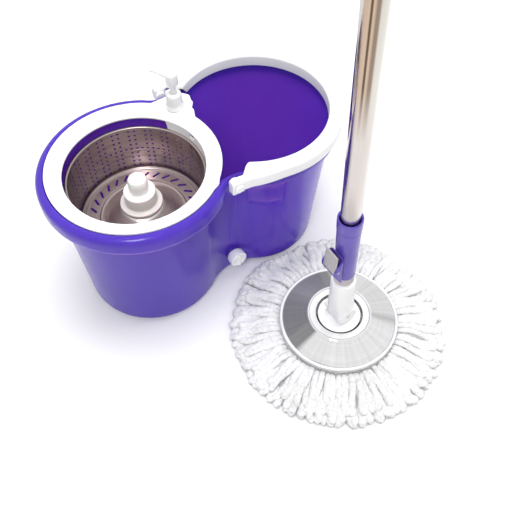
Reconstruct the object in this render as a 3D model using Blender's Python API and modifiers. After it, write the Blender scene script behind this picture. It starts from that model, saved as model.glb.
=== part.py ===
"""Spin mop and its two-bowl bucket.

The bucket stands on z = 0 with its waist at the origin, the spin basket towards -X, the wash tank
towards +X and the back towards +Y. The mop stands in front of it, head down, its pole nearly upright.
Lengths are metres.
"""
from math import atan2, cos, pi, radians, sin, sqrt

import bmesh
import bpy
from mathutils import Matrix, Vector

# ---- bucket, driving dimensions ----
BOWL_X = 0.094             # each bowl's centre, from the waist
BASKET_FLOOR_R = 0.1010    # outer radius of the basket's bowl at the floor
TANK_FLOOR_R = 0.0930      # outer radius of the tank's bowl at the floor
TOP_R = 0.1135             # outer radius of a bowl's wall under the rim
FLOOR_WAIST = 0.068        # half width of the waist at the floor
TOP_WAIST = 0.0865         # half width of the waist under the rim
WALL = 0.003
WALL_TOP_Z = 0.225
BASE_FILLET = 0.014
LIP_TOP_Z = 0.2390
LIP_BOTTOM_Z = 0.2140
LIP_OUT_BASKET = 0.0165    # how far the rolled rim stands out from the wall
LIP_OUT_TANK = 0.0085
TANK_LIP_RAISE = 0.0040    # the rim is higher where the handle covers it
LEDGE_Z = 0.2370           # step that carries the splash ring
LEDGE_IN = 0.0049
LEDGE_FALL = 0.0030        # the step slopes down inwards, like the ring
GAP = 0.0003               # between pieces that touch

# ---- splash ring ----
RING_IN = 0.0955
RING_OUT = 0.1169
RING_IN_Z = 0.2325
RING_OUT_Z = 0.2400
RING_PLATE = 0.0025
SKIRT_IN = 0.0962
SKIRT_OUT = 0.0982
SKIRT_BOTTOM_Z = 0.1900
SKIRT_HALF_ANGLE = radians(35)
LUG_BACK_LIMIT = 0.0903
PUMP_X = 0.0065
PUMP_Y = 0.0670
WELL_R = 0.0142
WELL_DEPTH = 0.0012

# ---- spin basket ----
DRUM_R = 0.0923
DRUM_TOP_Z = 0.2145
BASKET_FLOOR_Z = 0.1385
SHEET = 0.0012
SLOT_COUNT = 30
SLOT_MID_R = 0.0730
SLOT_SIZE = (0.0125, 0.0034)
SLOT_SLANT = radians(-40)
CONE_TOP_R = 0.0305
CONE_TOP_Z = 0.1590
HUB_FLANGE_R = 0.0300
HUB_R = 0.0225
HUB_TOP_Z = 0.1880
KNOB_R = 0.0145
KNOB_TOP_Z = 0.2120
SPINDLE_R = 0.0040
SPINDLE_CLEARANCE = 0.00006
BUSH_R = 0.0069

# ---- handle ----
HANDLE_IN = -0.0065        # from the wall line under the rim, inwards is negative
HANDLE_OUT = 0.0140
HANDLE_TOP_Z = 0.2485
HANDLE_PLATE = 0.0035
HANDLE_SKIRT_Z = 0.2310
EAR_IN = 0.0140
EAR_OUT = 0.0255
EAR_BOTTOM_Z = 0.2285
EAR_FRONT_END_X = -0.0090
EAR_BACK_END_X = -0.0062
SKIRT_FROM_FRONT_X = 0.0550  # the inner skirt starts nearer to the pivot at the back
SKIRT_FROM_BACK_X = 0.0260
PIVOT_Z = 0.2370
PIVOT_R = 0.0040

# ---- drain ----
DRAIN_X = 0.0075
DRAIN_Z = 0.0475
DRAIN_BOSS_R = 0.0120
DRAIN_BOSS_Y = -0.0765
DRAIN_HOLE_R = 0.0086
PLUG_R = 0.0135
PLUG_LENGTH = 0.0120

# ---- mop head ----
MOP_X = 0.0812
MOP_Y = -0.2480
DISC_R = 0.0877
STRAND_R = 0.1625
STRAND_CLEAR = 0.0020      # from the strands' ends to the tank's wall
YOKE_Z = 0.0550
YOKE_R = 0.0150
CHEEK_OUT = 0.0185
CHEEK_IN = 0.0122
LUG_HALF = 0.0118
LUG_R = 0.0125

# ---- pole; heights are along the pole from the yoke pin ----
POLE_LEAN = -0.056         # rise over run towards -X
TUBE_R = 0.0125
TUBE_WALL = 0.0013
TUBE_BOTTOM = 0.1200
TUBE_TOP = 1.0500
INNER_R = 0.0095
INNER_WALL = 0.0010
INNER_BOTTOM = 0.0455
INNER_TOP = 0.5600
COLLAR_BOTTOM = 0.0823
COLLAR_TOP = 0.0982
SLEEVE_BOTTOM = 0.0985
SLEEVE_TOP = 0.2170
LEVER_X = -0.0225
LEVER_S = 0.1320
HOUSING_X = -0.0285
HOUSING_HALF = 0.0142
PADDLE_HALF = 0.0112
LEVER_PIN_R = 0.0020
ROD_WIDTH = 0.0070
ROD_THICK = 0.0020
ROD_PITCH = 0.1000
ROD_BOTTOM = 0.3000
ROD_TOP = 1.0200
GRIP_BOTTOM = 0.9300
CAP_TOP = 1.1000

ROUND = 36                 # sides of a large turned piece
SMALL = 16                 # sides of a small one
FINE = 32                  # sides of a shaft and its bushes, so that they turn freely

for old in list(bpy.data.objects):
    bpy.data.objects.remove(old, do_unlink=True)

parts = bpy.data.collections.new("spin_mop")
cutters = bpy.data.collections.new("cutters")
bpy.context.scene.collection.children.link(parts)
bpy.context.scene.collection.children.link(cutters)


def material(name, colour, roughness, metallic=0.0):
    made = bpy.data.materials.new(name)
    made.use_nodes = True
    shader = made.node_tree.nodes["Principled BSDF"]
    shader.inputs["Base Color"].default_value = (*colour, 1.0)
    shader.inputs["Roughness"].default_value = roughness
    shader.inputs["Metallic"].default_value = metallic
    return made


PURPLE = ((0.085, 0.042, 0.42), 0.25, 0.0)
WHITE = ((0.86, 0.86, 0.86), 0.35, 0.0)
NATURAL = ((0.78, 0.76, 0.72), 0.45, 0.0)
GREY = ((0.45, 0.43, 0.43), 0.45, 0.0)
STEEL = ((0.56, 0.54, 0.51), 0.30, 1.0)
CHROME = ((0.80, 0.80, 0.80), 0.08, 1.0)
BLACK = ((0.03, 0.03, 0.03), 0.6, 0.0)
FIBRE = ((0.85, 0.85, 0.84), 0.95, 0.0)


def empty(name, location, rotation=(0.0, 0.0, 0.0), parent=None):
    made = bpy.data.objects.new(name, None)
    made.location = location
    made.rotation_euler = rotation
    made.parent = parent
    parts.objects.link(made)
    return made


def place(name, mesh, look, location=(0.0, 0.0, 0.0), rotation=(0.0, 0.0, 0.0), parent=None):
    """Makes one sub-part from a mesh, with its own material."""
    made = bpy.data.objects.new(name, mesh)
    mesh.materials.append(material(name, *look))
    made.location = location
    made.rotation_euler = rotation
    made.parent = parent
    parts.objects.link(made)
    mesh.shade_smooth()
    mesh.set_sharp_from_angle(angle=radians(35))
    return made


def mesh_from(name, build):
    """Runs build(bm) on a fresh bmesh and returns the mesh."""
    bm = bmesh.new()
    build(bm)
    bmesh.ops.recalc_face_normals(bm, faces=bm.faces)
    mesh = bpy.data.meshes.new(name)
    bm.to_mesh(mesh)
    bm.free()
    return mesh


def box_mesh(name, low, high):
    middle = [(a + b) / 2 for a, b in zip(low, high)]
    size = [b - a for a, b in zip(low, high)]

    def build(bm):
        matrix = Matrix.Translation(middle) @ Matrix.Diagonal((*size, 1.0))
        bmesh.ops.create_cube(bm, size=1.0, matrix=matrix)

    return mesh_from(name, build)


def cylinder_mesh(name, radius, start, end, sides=SMALL, end_radius=None):
    """A closed cylinder, or a cone, from one point to another."""
    start = Vector(start)
    end = Vector(end)
    along = end - start
    turn = along.to_track_quat("Z", "Y").to_matrix().to_4x4()
    top = radius if end_radius is None else end_radius

    def build(bm):
        matrix = Matrix.Translation((start + end) / 2) @ turn
        bmesh.ops.create_cone(bm, cap_ends=True, segments=sides, radius1=radius, radius2=top,
                              depth=along.length, matrix=matrix)

    return mesh_from(name, build)


def turned(name, profile, look, closed=True, sides=ROUND, **where):
    """A turned piece: profile points are (radius, height) and run clockwise, down the outer side."""
    loop = profile + profile[:1]
    turning = sum((b[0] - a[0]) * (b[1] + a[1]) for a, b in zip(loop, loop[1:]))
    points = profile if turning > 0 or not closed else profile[::-1]
    mesh = bpy.data.meshes.new(name)
    edges = [(i, i + 1) for i in range(len(points) - 1)]
    if closed:
        edges.append((len(points) - 1, 0))
    mesh.from_pydata([(r, 0.0, z) for r, z in points], edges, [])
    made = place(name, mesh, look, **where)
    screw = made.modifiers.new("turn", "SCREW")
    screw.steps = sides
    screw.render_steps = sides
    screw.use_merge_vertices = True
    screw.merge_threshold = 0.00001
    screw.use_smooth_shade = True
    return made


def loft(name, rings, closed=False):
    """Skins a row of equal rings; an open row gets a flat cap at each end."""

    def build(bm):
        rows = [[bm.verts.new(p) for p in ring] for ring in rings]
        count = len(rows[0])
        last = len(rows) if closed else len(rows) - 1
        for i in range(last):
            here = rows[i]
            there = rows[(i + 1) % len(rows)]
            for j in range(count):
                k = (j + 1) % count
                bm.faces.new((here[j], here[k], there[k], there[j]))
        if not closed:
            bm.faces.new(rows[0])
            bm.faces.new(rows[-1])

    return mesh_from(name, build)


def tool(name, mesh, parent=None):
    made = bpy.data.objects.new(name, mesh)
    made.hide_render = True
    made.display_type = "WIRE"
    made.parent = parent
    cutters.objects.link(made)
    return made


def boolean(target, mesh, operation="DIFFERENCE", parent=None):
    """Cuts a mesh from a part, or joins it on."""
    made = tool(f"{target.name}_{operation.lower()}_{len(target.modifiers)}", mesh, parent)
    step = target.modifiers.new(operation.lower(), "BOOLEAN")
    step.operation = operation
    step.object = made
    step.solver = "EXACT"
    return made


def smoothstep(low, high, value):
    t = min(max((value - low) / (high - low), 0.0), 1.0)
    return t * t * (3 - 2 * t)


# ---- outline of the two bowls ----
ARC_STEPS = 20
WAIST_STEPS = 6


def waist_arc(basket, tank, waist):
    """Radius and centre of the hollow arc that touches both bowls and passes the waist."""
    lean = (basket - tank) / (4 * BOWL_X)
    base = lean * (basket + tank) + BOWL_X
    b = 4 * lean * base + 2 * waist - 2 * basket
    c = base ** 2 + waist ** 2 - basket ** 2
    fillet = 2 * c / (sqrt(b ** 2 - 16 * lean ** 2 * c) - b)
    return fillet, base - BOWL_X + 2 * lean * fillet, waist + fillet


def outline(basket, tank, waist):
    """Points and outward normals round the bowls, from the back of the waist by way of the basket."""
    fillet, middle, height = waist_arc(basket, tank, waist)
    made = []
    for side, radius in ((-1, basket), (1, tank)):
        touch = atan2(height, BOWL_X - side * middle)
        for i in range(ARC_STEPS + 1):
            angle = touch + (2 * pi - 2 * touch) * i / ARC_STEPS
            normal = (-side * cos(angle), -side * sin(angle))
            made.append((side * BOWL_X + radius * normal[0], radius * normal[1], *normal))
        leave = -atan2(BOWL_X - side * middle, height)
        arrive = atan2(BOWL_X + side * middle, height)
        for i in range(1, WAIST_STEPS):
            angle = leave + (arrive - leave) * i / WAIST_STEPS
            x = middle - side * fillet * sin(angle)
            y = side * (height - fillet * cos(angle))
            made.append((x, y, (middle - x) / fillet, (side * height - y) / fillet))
    return made


def wall_at(height):
    """Outer radii and waist of the wall at a height."""
    t = min(height / WALL_TOP_Z, 1.0)
    basket = BASKET_FLOOR_R + (TOP_R - BASKET_FLOOR_R) * t
    tank = TANK_FLOOR_R + (TOP_R - TANK_FLOOR_R) * t
    return basket, tank, FLOOR_WAIST + (TOP_WAIST - FLOOR_WAIST) * t


def wall_ring(offset, height):
    return [(x + nx * offset, y + ny * offset, height) for x, y, nx, ny in outline(*wall_at(height))]


TOP_OUTLINE = outline(*wall_at(WALL_TOP_Z))


def lip_out(x):
    return LIP_OUT_BASKET + (LIP_OUT_TANK - LIP_OUT_BASKET) * smoothstep(-0.035, 0.0, x)


def lip_ring(reach, inset, height, raised):
    """A ring of the rim: reach is the share of the overhang, inset is taken off it."""
    ring = []
    for x, y, nx, ny in TOP_OUTLINE:
        offset = reach * lip_out(x) - inset
        lift = raised * TANK_LIP_RAISE * smoothstep(0.038, 0.068, x)
        ring.append((x + nx * offset, y + ny * offset, height + lift))
    return ring


def bucket_shell():
    rings = []
    for i in range(5):
        angle = radians(90 * i / 4)
        rings.append(wall_ring(-BASE_FILLET * (1 - sin(angle)), BASE_FILLET * (1 - cos(angle))))
    rings.append(wall_ring(0.0, 0.120))
    rings.append(wall_ring(0.0, LIP_BOTTOM_Z))
    rings.append(lip_ring(0.0, 0.0, 0.2300, 0.0))
    rings.append(lip_ring(1.0, 0.0030, 0.2290, 0.5))
    rings.append(lip_ring(1.0, 0.0030, LIP_BOTTOM_Z, 0.0))
    rings.append(lip_ring(1.0, 0.0004, LIP_BOTTOM_Z, 0.0))
    rings.append(lip_ring(1.0, 0.0, LIP_BOTTOM_Z + 0.0010, 0.0))
    rings.append(lip_ring(1.0, 0.0, 0.2290, 0.5))
    rings.append(lip_ring(1.0, 0.0012, 0.2340, 1.0))
    rings.append(lip_ring(1.0, 0.0035, 0.2375, 1.0))
    rings.append(lip_ring(0.5, -0.0020, LIP_TOP_Z, 1.0))
    rings.append(lip_ring(0.0, -LEDGE_IN - 0.0004, LIP_TOP_Z, 1.0))
    rings.append(lip_ring(0.0, -LEDGE_IN, LEDGE_Z, 0.0))
    rings.append(lip_ring(0.0, WALL - 0.0006, LEDGE_Z - LEDGE_FALL, 0.0))
    rings.append(lip_ring(0.0, WALL, LEDGE_Z - LEDGE_FALL - 0.0010, 0.0))
    rings.append(wall_ring(-WALL, 0.120))
    inner = BASE_FILLET - WALL
    for i in range(4, -1, -1):
        angle = radians(90 * i / 4)
        rings.append(wall_ring(-WALL - inner * (1 - sin(angle)), WALL + inner * (1 - cos(angle))))
    shell = place("bucket_shell", loft("bucket_shell", rings), PURPLE)
    boss = cylinder_mesh("boss", DRAIN_BOSS_R, (DRAIN_X, -0.0700, DRAIN_Z), (DRAIN_X, DRAIN_BOSS_Y, DRAIN_Z))
    boolean(shell, boss, "UNION")
    hole = cylinder_mesh("hole", DRAIN_HOLE_R, (DRAIN_X, -0.0500, DRAIN_Z), (DRAIN_X, -0.0800, DRAIN_Z))
    boolean(shell, hole)


def ring_reach(angle):
    """Outer radius of the splash ring at an angle round the basket, with its pump lug and corner tab."""
    lug = [(15, RING_OUT), (22.5, 0.1276), (26.5, 0.1400), (31, 0.1487), (38, 0.1470), (46, 0.1400),
           (52, 0.1290), (58, RING_OUT)]
    degrees = (angle * 180 / pi + 180) % 360 - 180
    reach = RING_OUT
    for (a, low), (b, high) in zip(lug, lug[1:]):
        if a <= degrees <= b:
            reach = low + (high - low) * smoothstep(a, b, degrees)
    if degrees > 0:
        reach = min(reach, LUG_BACK_LIMIT / max(sin(angle), 0.3))
    tab = max(0.0, 1 - abs(degrees + 51) / 5)
    return max(RING_OUT, reach) + 0.0004 + 0.0024 * tab


def splash_ring():
    slope = (RING_OUT_Z - RING_IN_Z) / (RING_OUT - RING_IN)
    skirt_root_z = RING_IN_Z + (SKIRT_OUT - RING_IN) * slope - RING_PLATE
    angles = [radians(5 * i) for i in range(72)]
    rings = []
    for angle in angles:
        folded = abs((angle + pi) % (2 * pi) - pi)
        depth = smoothstep(SKIRT_HALF_ANGLE, SKIRT_HALF_ANGLE - radians(5), folded)
        skirt = RING_IN_Z - 0.0030 - (RING_IN_Z - 0.0030 - SKIRT_BOTTOM_Z) * depth
        reach = ring_reach(angle)
        section = [(RING_IN, RING_IN_Z), (RING_OUT, RING_OUT_Z), (reach, RING_OUT_Z),
                   (reach, RING_OUT_Z - RING_PLATE), (RING_OUT, RING_OUT_Z - RING_PLATE),
                   (SKIRT_OUT, skirt_root_z), (SKIRT_OUT, skirt), (SKIRT_IN, skirt), (RING_IN, RING_IN_Z - 0.0020)]
        rings.append([(r * cos(angle) - BOWL_X, r * sin(angle), z) for r, z in section])
    ring = place("splash_ring", loft("splash_ring", rings, closed=True), WHITE)
    top = RING_OUT_Z + 0.01
    well = cylinder_mesh("well", WELL_R, (PUMP_X, PUMP_Y, RING_OUT_Z - WELL_DEPTH), (PUMP_X, PUMP_Y, top), 32)
    boolean(ring, well)
    neck = cylinder_mesh("neck", 0.0106, (PUMP_X, PUMP_Y, 0.2300), (PUMP_X, PUMP_Y, top), 32)
    boolean(ring, neck)


def spin_basket():
    at = dict(location=(-BOWL_X, 0.0, 0.0))
    rim = DRUM_R + 0.0002
    roll = [(rim + 0.0023 * cos(radians(a)), DRUM_TOP_Z + 0.0023 * sin(radians(a))) for a in range(90, -91, -36)]
    drum = roll + [(DRUM_R, 0.2115), (DRUM_R - 0.0012, 0.1400), (0.0900, 0.1370), (0.0870, 0.1364),
                   (0.0870, 0.1376), (0.0893, 0.1382), (0.0899, 0.1402), (DRUM_R - SHEET, 0.2120),
                   (DRUM_R - SHEET, 0.2160)]
    turned("basket_drum", drum, STEEL, **at)
    z = BASKET_FLOOR_Z
    top = [(0.0123 + GAP, CONE_TOP_Z), (CONE_TOP_R - 0.0015, CONE_TOP_Z), (CONE_TOP_R, CONE_TOP_Z - 0.0008),
           (0.0560, z - 0.0040), (0.0600, z - 0.0040), (0.0636, z), (0.0822, z), (0.0832, z + 0.0020),
           (0.0845, z + 0.0029), (0.0858, z + 0.0020), (0.0866, z)]
    under = [(0.0866, z - SHEET), (0.0855, z - 0.0004), (0.0845, z + 0.0017), (0.0836, z - 0.0004),
             (0.0828, z - SHEET), (0.0640, z - SHEET), (0.0604, z - 0.0052), (0.0554, z - 0.0052),
             (CONE_TOP_R - 0.0008, CONE_TOP_Z - 0.0019), (CONE_TOP_R - 0.0018, CONE_TOP_Z - SHEET),
             (0.0123 + GAP, CONE_TOP_Z - SHEET)]
    floor = turned("basket_floor", top + under, STEEL, **at)

    def slots(bm):
        for i in range(SLOT_COUNT):
            spot = Matrix.Rotation(2 * pi * i / SLOT_COUNT, 4, "Z") @ Matrix.Translation((SLOT_MID_R, 0, z))
            size = Matrix.Diagonal((*SLOT_SIZE, 0.006, 1.0))
            bmesh.ops.create_cube(bm, size=1.0, matrix=spot @ Matrix.Rotation(SLOT_SLANT, 4, "Z") @ size)

    boolean(floor, mesh_from("slots", slots)).location = at["location"]
    bore = BUSH_R + GAP
    hub = [(0.0, HUB_TOP_Z), (HUB_R - 0.0020, HUB_TOP_Z), (HUB_R, HUB_TOP_Z - 0.0020), (HUB_R, 0.1668),
           (HUB_FLANGE_R - 0.0010, 0.1655), (HUB_FLANGE_R, 0.1645), (HUB_FLANGE_R, CONE_TOP_Z + GAP),
           (0.0123, CONE_TOP_Z + GAP), (0.0123, 0.1480), (bore, 0.1480), (bore, 0.1830), (0.0, 0.1830)]
    made = turned("basket_hub", hub, WHITE, closed=False, sides=32, **at)
    knob = cylinder_mesh("knob", KNOB_R, (0, 0, HUB_TOP_Z - 0.002), (0, 0, KNOB_TOP_Z), 8, KNOB_R - 0.0020)
    boolean(made, knob, "UNION").location = at["location"]
    clamp = [(0.0123 + GAP, CONE_TOP_Z - SHEET - GAP), (0.0230, CONE_TOP_Z - SHEET - GAP), (0.0240, 0.1560),
             (0.0220, 0.1500), (0.0123 + GAP, 0.1500)]
    turned("hub_clamp", clamp, WHITE, sides=SMALL, **at)
    hole = SPINDLE_R + SPINDLE_CLEARANCE
    for name, low, high in (("bush_lower", 0.1483, 0.1583), ("bush_upper", 0.1700, 0.1800)):
        turned(name, [(hole, high), (BUSH_R, high), (BUSH_R, low), (hole, low)], NATURAL, sides=FINE, **at)
    seat = SPINDLE_R + GAP
    post = [(seat, 0.1400), (0.0120, 0.1400), (0.0200, 0.0160), (0.0340, 0.0090), (0.0340, WALL + GAP),
            (0.0, WALL + GAP), (0.0, 0.0800), (seat, 0.0800)]
    turned("spindle_post", post, NATURAL, sides=SMALL, **at)
    turned("spindle_collar", [(seat, 0.1475), (0.0066, 0.1475), (0.0075, 0.1403), (seat, 0.1403)], STEEL,
           sides=SMALL, **at)
    pin = cylinder_mesh("spindle", SPINDLE_R, (0, 0, 0.0803), (0, 0, 0.1820), FINE)
    place("spindle", pin, STEEL, **at)


def soap_pump():
    at = dict(location=(PUMP_X, PUMP_Y, 0.0), sides=SMALL)

    def oval(cx, cy, a, b, z):
        turns = [2 * pi * i / 20 for i in range(20)]
        return [(cx + a * cos(t), cy + b * sin(t), z) for t in turns]

    levels = [(0.1600, 0.0185, 0.0135), (0.1630, 0.0200, 0.0150), (0.2180, 0.0200, 0.0150),
              (0.2270, 0.0165, 0.0130), (0.2320, 0.0100, 0.0100), (0.2500, 0.0100, 0.0100)]
    shift_x = 0.0035
    shift_y = -0.0065
    skin = 0.0011
    outer = []
    inner = []
    for z, a, b in levels:
        t = 1 - smoothstep(0.2150, 0.2320, z)
        cx = PUMP_X + shift_x * t
        cy = PUMP_Y + shift_y * t
        outer.append(oval(cx, cy, a, b, z))
        inner.append(oval(cx, cy, a - skin, b - skin, z + (skin if z < 0.2 else 0.0)))
    place("soap_bottle", loft("soap_bottle", outer + inner[::-1]), NATURAL)
    closure = [(0.0048, 0.2640), (0.0085, 0.2640), (0.0108, 0.2610), (0.0112, 0.2450), (0.0132, 0.2396),
               (0.0132, 0.2391), (0.0104, 0.2391), (0.0104, 0.2520), (0.0048, 0.2520)]
    turned("pump_closure", closure, WHITE, **at)
    barrel = [(0.0053, 0.2517), (0.0098, 0.2517), (0.0098, 0.2503), (0.0068, 0.2500), (0.0068, 0.2060),
              (0.0016, 0.2050), (0.0016, 0.2068), (0.0053, 0.2075)]
    turned("pump_barrel", barrel, NATURAL, **at)
    turned("dip_tube", [(0.0015, 0.2046), (0.0026, 0.2046), (0.0026, 0.1680), (0.0015, 0.1680)], NATURAL,
           location=(PUMP_X, PUMP_Y, 0.0), sides=12)
    spring = bpy.data.curves.new("pump_spring", "CURVE")
    spring.dimensions = "3D"
    path = spring.splines.new("POLY")
    turns = 4
    steps = turns * 10
    path.points.add(steps)
    for i in range(steps + 1):
        angle = 2 * pi * i / 10
        path.points[i].co = (0.0038 * cos(angle), 0.0038 * sin(angle), 0.2085 + 0.0145 * i / steps, 1)
    spring.bevel_depth = 0.0006
    spring.bevel_resolution = 1
    spring.use_fill_caps = True
    made = bpy.data.objects.new("pump_spring", spring)
    spring.materials.append(material("pump_spring", *STEEL))
    made.location = (PUMP_X, PUMP_Y, 0.0)
    parts.objects.link(made)
    turned("pump_stem", [(0.0018, 0.2860), (0.0040, 0.2860), (0.0040, 0.2240), (0.0018, 0.2240)], WHITE, **at)
    piston = [(0.0043, 0.2330), (0.0050, 0.2330), (0.0050, 0.2262), (0.0043, 0.2262)]
    turned("pump_piston", piston, NATURAL, **at)
    head = [(0.0, 0.2990), (0.0060, 0.2990), (0.0084, 0.2965), (0.0088, 0.2790), (0.0044, 0.2790),
            (0.0044, 0.2863), (0.0, 0.2863)]
    cap = turned("pump_head", head, WHITE, closed=False, **at)
    direction = Vector((-0.62, 0.785, 0.0))
    root = direction * 0.0040
    tip = direction * 0.0320
    spout = cylinder_mesh("spout", 0.0046, (root.x, root.y, 0.2925), (tip.x, tip.y, 0.2965), 16, 0.0034)
    boolean(cap, spout, "UNION").location = (PUMP_X, PUMP_Y, 0.0)


def drain():
    """The drain's pieces turn about an axis that points out of the front of the waist."""
    hub = empty("drain_axis", (DRAIN_X, 0.0, DRAIN_Z), (radians(90), 0.0, 0.0))
    at = dict(parent=hub, sides=SMALL)
    face = -DRAIN_BOSS_Y
    flange = face + GAP + 0.0008
    near = face + GAP
    seal = [(0.0086, near + 0.0004), (0.0117, near + 0.0004), (0.0117, near), (0.0086, near)]
    turned("bush_seal", seal, BLACK, **at)
    bush = [(0.0062, flange + 0.0018), (0.0117, flange + 0.0018), (0.0117, flange), (0.0082, flange),
            (0.0082, 0.0610), (0.0062, 0.0610)]
    turned("drain_bush", bush, WHITE, **at)
    turned("drain_nut", [(0.0085, 0.0675), (0.0130, 0.0675), (0.0130, 0.0635), (0.0085, 0.0635)], WHITE, **at)
    cap = flange + 0.0018 + GAP
    plug = [(0.0, cap + PLUG_LENGTH - 0.0010), (0.0105, cap + PLUG_LENGTH - 0.0010), (0.0112, cap + PLUG_LENGTH),
            (PLUG_R - 0.0008, cap + PLUG_LENGTH), (PLUG_R, cap + PLUG_LENGTH - 0.0008), (PLUG_R, cap),
            (0.0052, cap), (0.0052, 0.0720), (0.0040, 0.0718), (0.0040, 0.0692), (0.0052, 0.0690),
            (0.0052, 0.0650), (0.0, 0.0640)]
    made = turned("drain_plug", plug, WHITE, closed=False, **at)
    plug_end = cap + PLUG_LENGTH
    rib = box_mesh("rib", (-0.0016, -0.0112, plug_end - 0.0020), (0.0016, 0.0112, plug_end + 0.0030))
    boolean(made, rib, "UNION", hub)
    turned("plug_seal", [(0.0043, 0.0715), (0.0060, 0.0712), (0.0060, 0.0698), (0.0043, 0.0695)], BLACK, **at)


def carry_handle():
    hinge = empty("handle_axis", (0.0, 0.0, PIVOT_Z))
    walk = [p for p in TOP_OUTLINE if p[0] > 0.0005]
    start = next(i for i, p in enumerate(TOP_OUTLINE) if p[0] > 0.0005 and TOP_OUTLINE[i - 1][0] <= 0.0005)
    count = len(TOP_OUTLINE)
    path = [TOP_OUTLINE[(start + i) % count] for i in range(len(walk))]
    straight = TOP_WAIST
    front = [(x, -straight, 0.0, -1.0) for x in (EAR_FRONT_END_X, -0.0045)]
    back = [(x, straight, 0.0, 1.0) for x in (-0.0045, EAR_BACK_END_X)]
    rings = []
    for x, y, nx, ny in front + path + back:
        inner = EAR_IN + (HANDLE_IN - EAR_IN) * smoothstep(0.0140, 0.0290, x)
        outer = EAR_OUT + (HANDLE_OUT - EAR_OUT) * smoothstep(0.0120, 0.0750, x)
        hollow = smoothstep(0.0105, 0.0140, x)
        under = EAR_BOTTOM_Z + (HANDLE_TOP_Z - HANDLE_PLATE - EAR_BOTTOM_Z) * hollow
        low_out = EAR_BOTTOM_Z + (HANDLE_SKIRT_Z - EAR_BOTTOM_Z) * hollow - 0.0003
        skirt_x = SKIRT_FROM_FRONT_X if y < 0 else SKIRT_FROM_BACK_X
        deep = smoothstep(skirt_x, skirt_x + 0.0110, x)
        low_in = under - 0.0003 - (under - HANDLE_SKIRT_Z) * deep * hollow
        skin = 0.0026
        section = [(inner, low_in), (inner, HANDLE_TOP_Z - 0.0035), (inner + 0.0035, HANDLE_TOP_Z),
                   (outer - 0.0035, HANDLE_TOP_Z), (outer, HANDLE_TOP_Z - 0.0035), (outer, low_out),
                   (outer - skin, low_out), (outer - skin, under), (inner + skin, under), (inner + skin, low_in)]
        rings.append([(x + nx * d, y + ny * d, z - PIVOT_Z) for d, z in section])
    band = place("carry_handle", loft("carry_handle", rings), WHITE, parent=hinge)
    hole = cylinder_mesh("hole", PIVOT_R + 0.0004, (0, -0.15, 0), (0, 0.15, 0))
    boolean(band, hole, parent=hinge)
    for name, side in (("handle_pin_front", -1), ("handle_pin_back", 1)):
        turn = empty(f"{name}_axis", (0.0, 0.0, PIVOT_Z), (radians(-90 * side), 0.0, 0.0))
        ear_in = TOP_WAIST + EAR_IN
        ear_out = TOP_WAIST + EAR_OUT
        head = ear_out + 0.0012
        profile = [(0.0, head + 0.0020), (0.0052, head + 0.0020), (0.0064, head + 0.0010),
                   (0.0064, head), (PIVOT_R, head), (PIVOT_R, ear_in - GAP),
                   (0.0070, ear_in - GAP), (0.0070, 0.0970), (0.0, 0.0970)]
        turned(name, profile, WHITE, closed=False, sides=SMALL, parent=turn)


def mop_head():
    axis = empty("mop_axis", (MOP_X, MOP_Y, 0.0))
    at = dict(parent=axis)
    cover = [(0.0334, 0.0394), (0.0340, 0.0406), (0.0440, 0.0406), (0.0450, 0.0420), (0.0462, 0.0420),
             (0.0474, 0.0408), (0.0822, 0.0286), (0.0838, 0.0300), (0.0858, 0.0302), (0.0873, 0.0288),
             (DISC_R, 0.0262), (DISC_R, 0.0236), (DISC_R - SHEET, 0.0236), (DISC_R - SHEET, 0.0260),
             (0.0854, 0.0288), (0.0840, 0.0286), (0.0824, 0.0272), (0.0466, 0.0396), (0.0346, 0.0394)]
    turned("disc_cover", cover, CHROME, **at)
    core = [(0.0, 0.0392), (0.0315, 0.0392), (0.0325, 0.0382), (0.0325, 0.0225), (0.0835, 0.0225),
            (0.0835, 0.0180), (0.0, 0.0180)]
    made = turned("disc_core", core, WHITE, closed=False, **at)
    lug = cylinder_mesh("lug", LUG_R, (0, -LUG_HALF, YOKE_Z), (0, LUG_HALF, YOKE_Z))
    boolean(made, lug, "UNION", axis)
    foot = box_mesh("foot", (-LUG_R + 0.0004, -LUG_HALF - 0.0002, 0.0350),
                    (LUG_R - 0.0004, LUG_HALF + 0.0002, YOKE_Z))
    boolean(made, foot, "UNION", axis)
    boolean(made, cylinder_mesh("bore", 0.0033, (0, -0.02, YOKE_Z), (0, 0.02, YOKE_Z)), parent=axis)
    frame = [(0.0600, 0.0177), (0.0870, 0.0177), (0.0876, 0.0160), (0.0876, 0.0138), (0.0600, 0.0138)]
    turned("strand_ring", frame, WHITE, sides=36, **at)
    tank = Vector((BOWL_X - MOP_X, -MOP_Y))

    def to_tank(angle):
        """Distance from the disc's centre to the tank's wall, or a large one where the wall isn't met."""
        along = tank.x * cos(angle) + tank.y * sin(angle)
        across = tank.y * cos(angle) - tank.x * sin(angle)
        wall = TANK_FLOOR_R + WALL
        return along - sqrt(wall ** 2 - across ** 2) if along > 0 and abs(across) < wall else 1.0

    rings = []
    steps = 48
    for i in range(steps):
        angle = 2 * pi * i / steps
        reach = min(STRAND_R, to_tank(angle) - STRAND_CLEAR)
        section = [(0.0600, 0.0), (0.0600, 0.0133), (0.0878, 0.0133), (0.0884, 0.0215), (0.1030, 0.0265),
                   (0.1280, 0.0240), (reach - 0.0110, 0.0180), (reach, 0.0085), (reach - 0.0050, 0.0)]
        rings.append([(r * cos(angle), r * sin(angle), z) for r, z in section])
    place("mop_strands", loft("mop_strands", rings, closed=True), FIBRE, **at)


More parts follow.
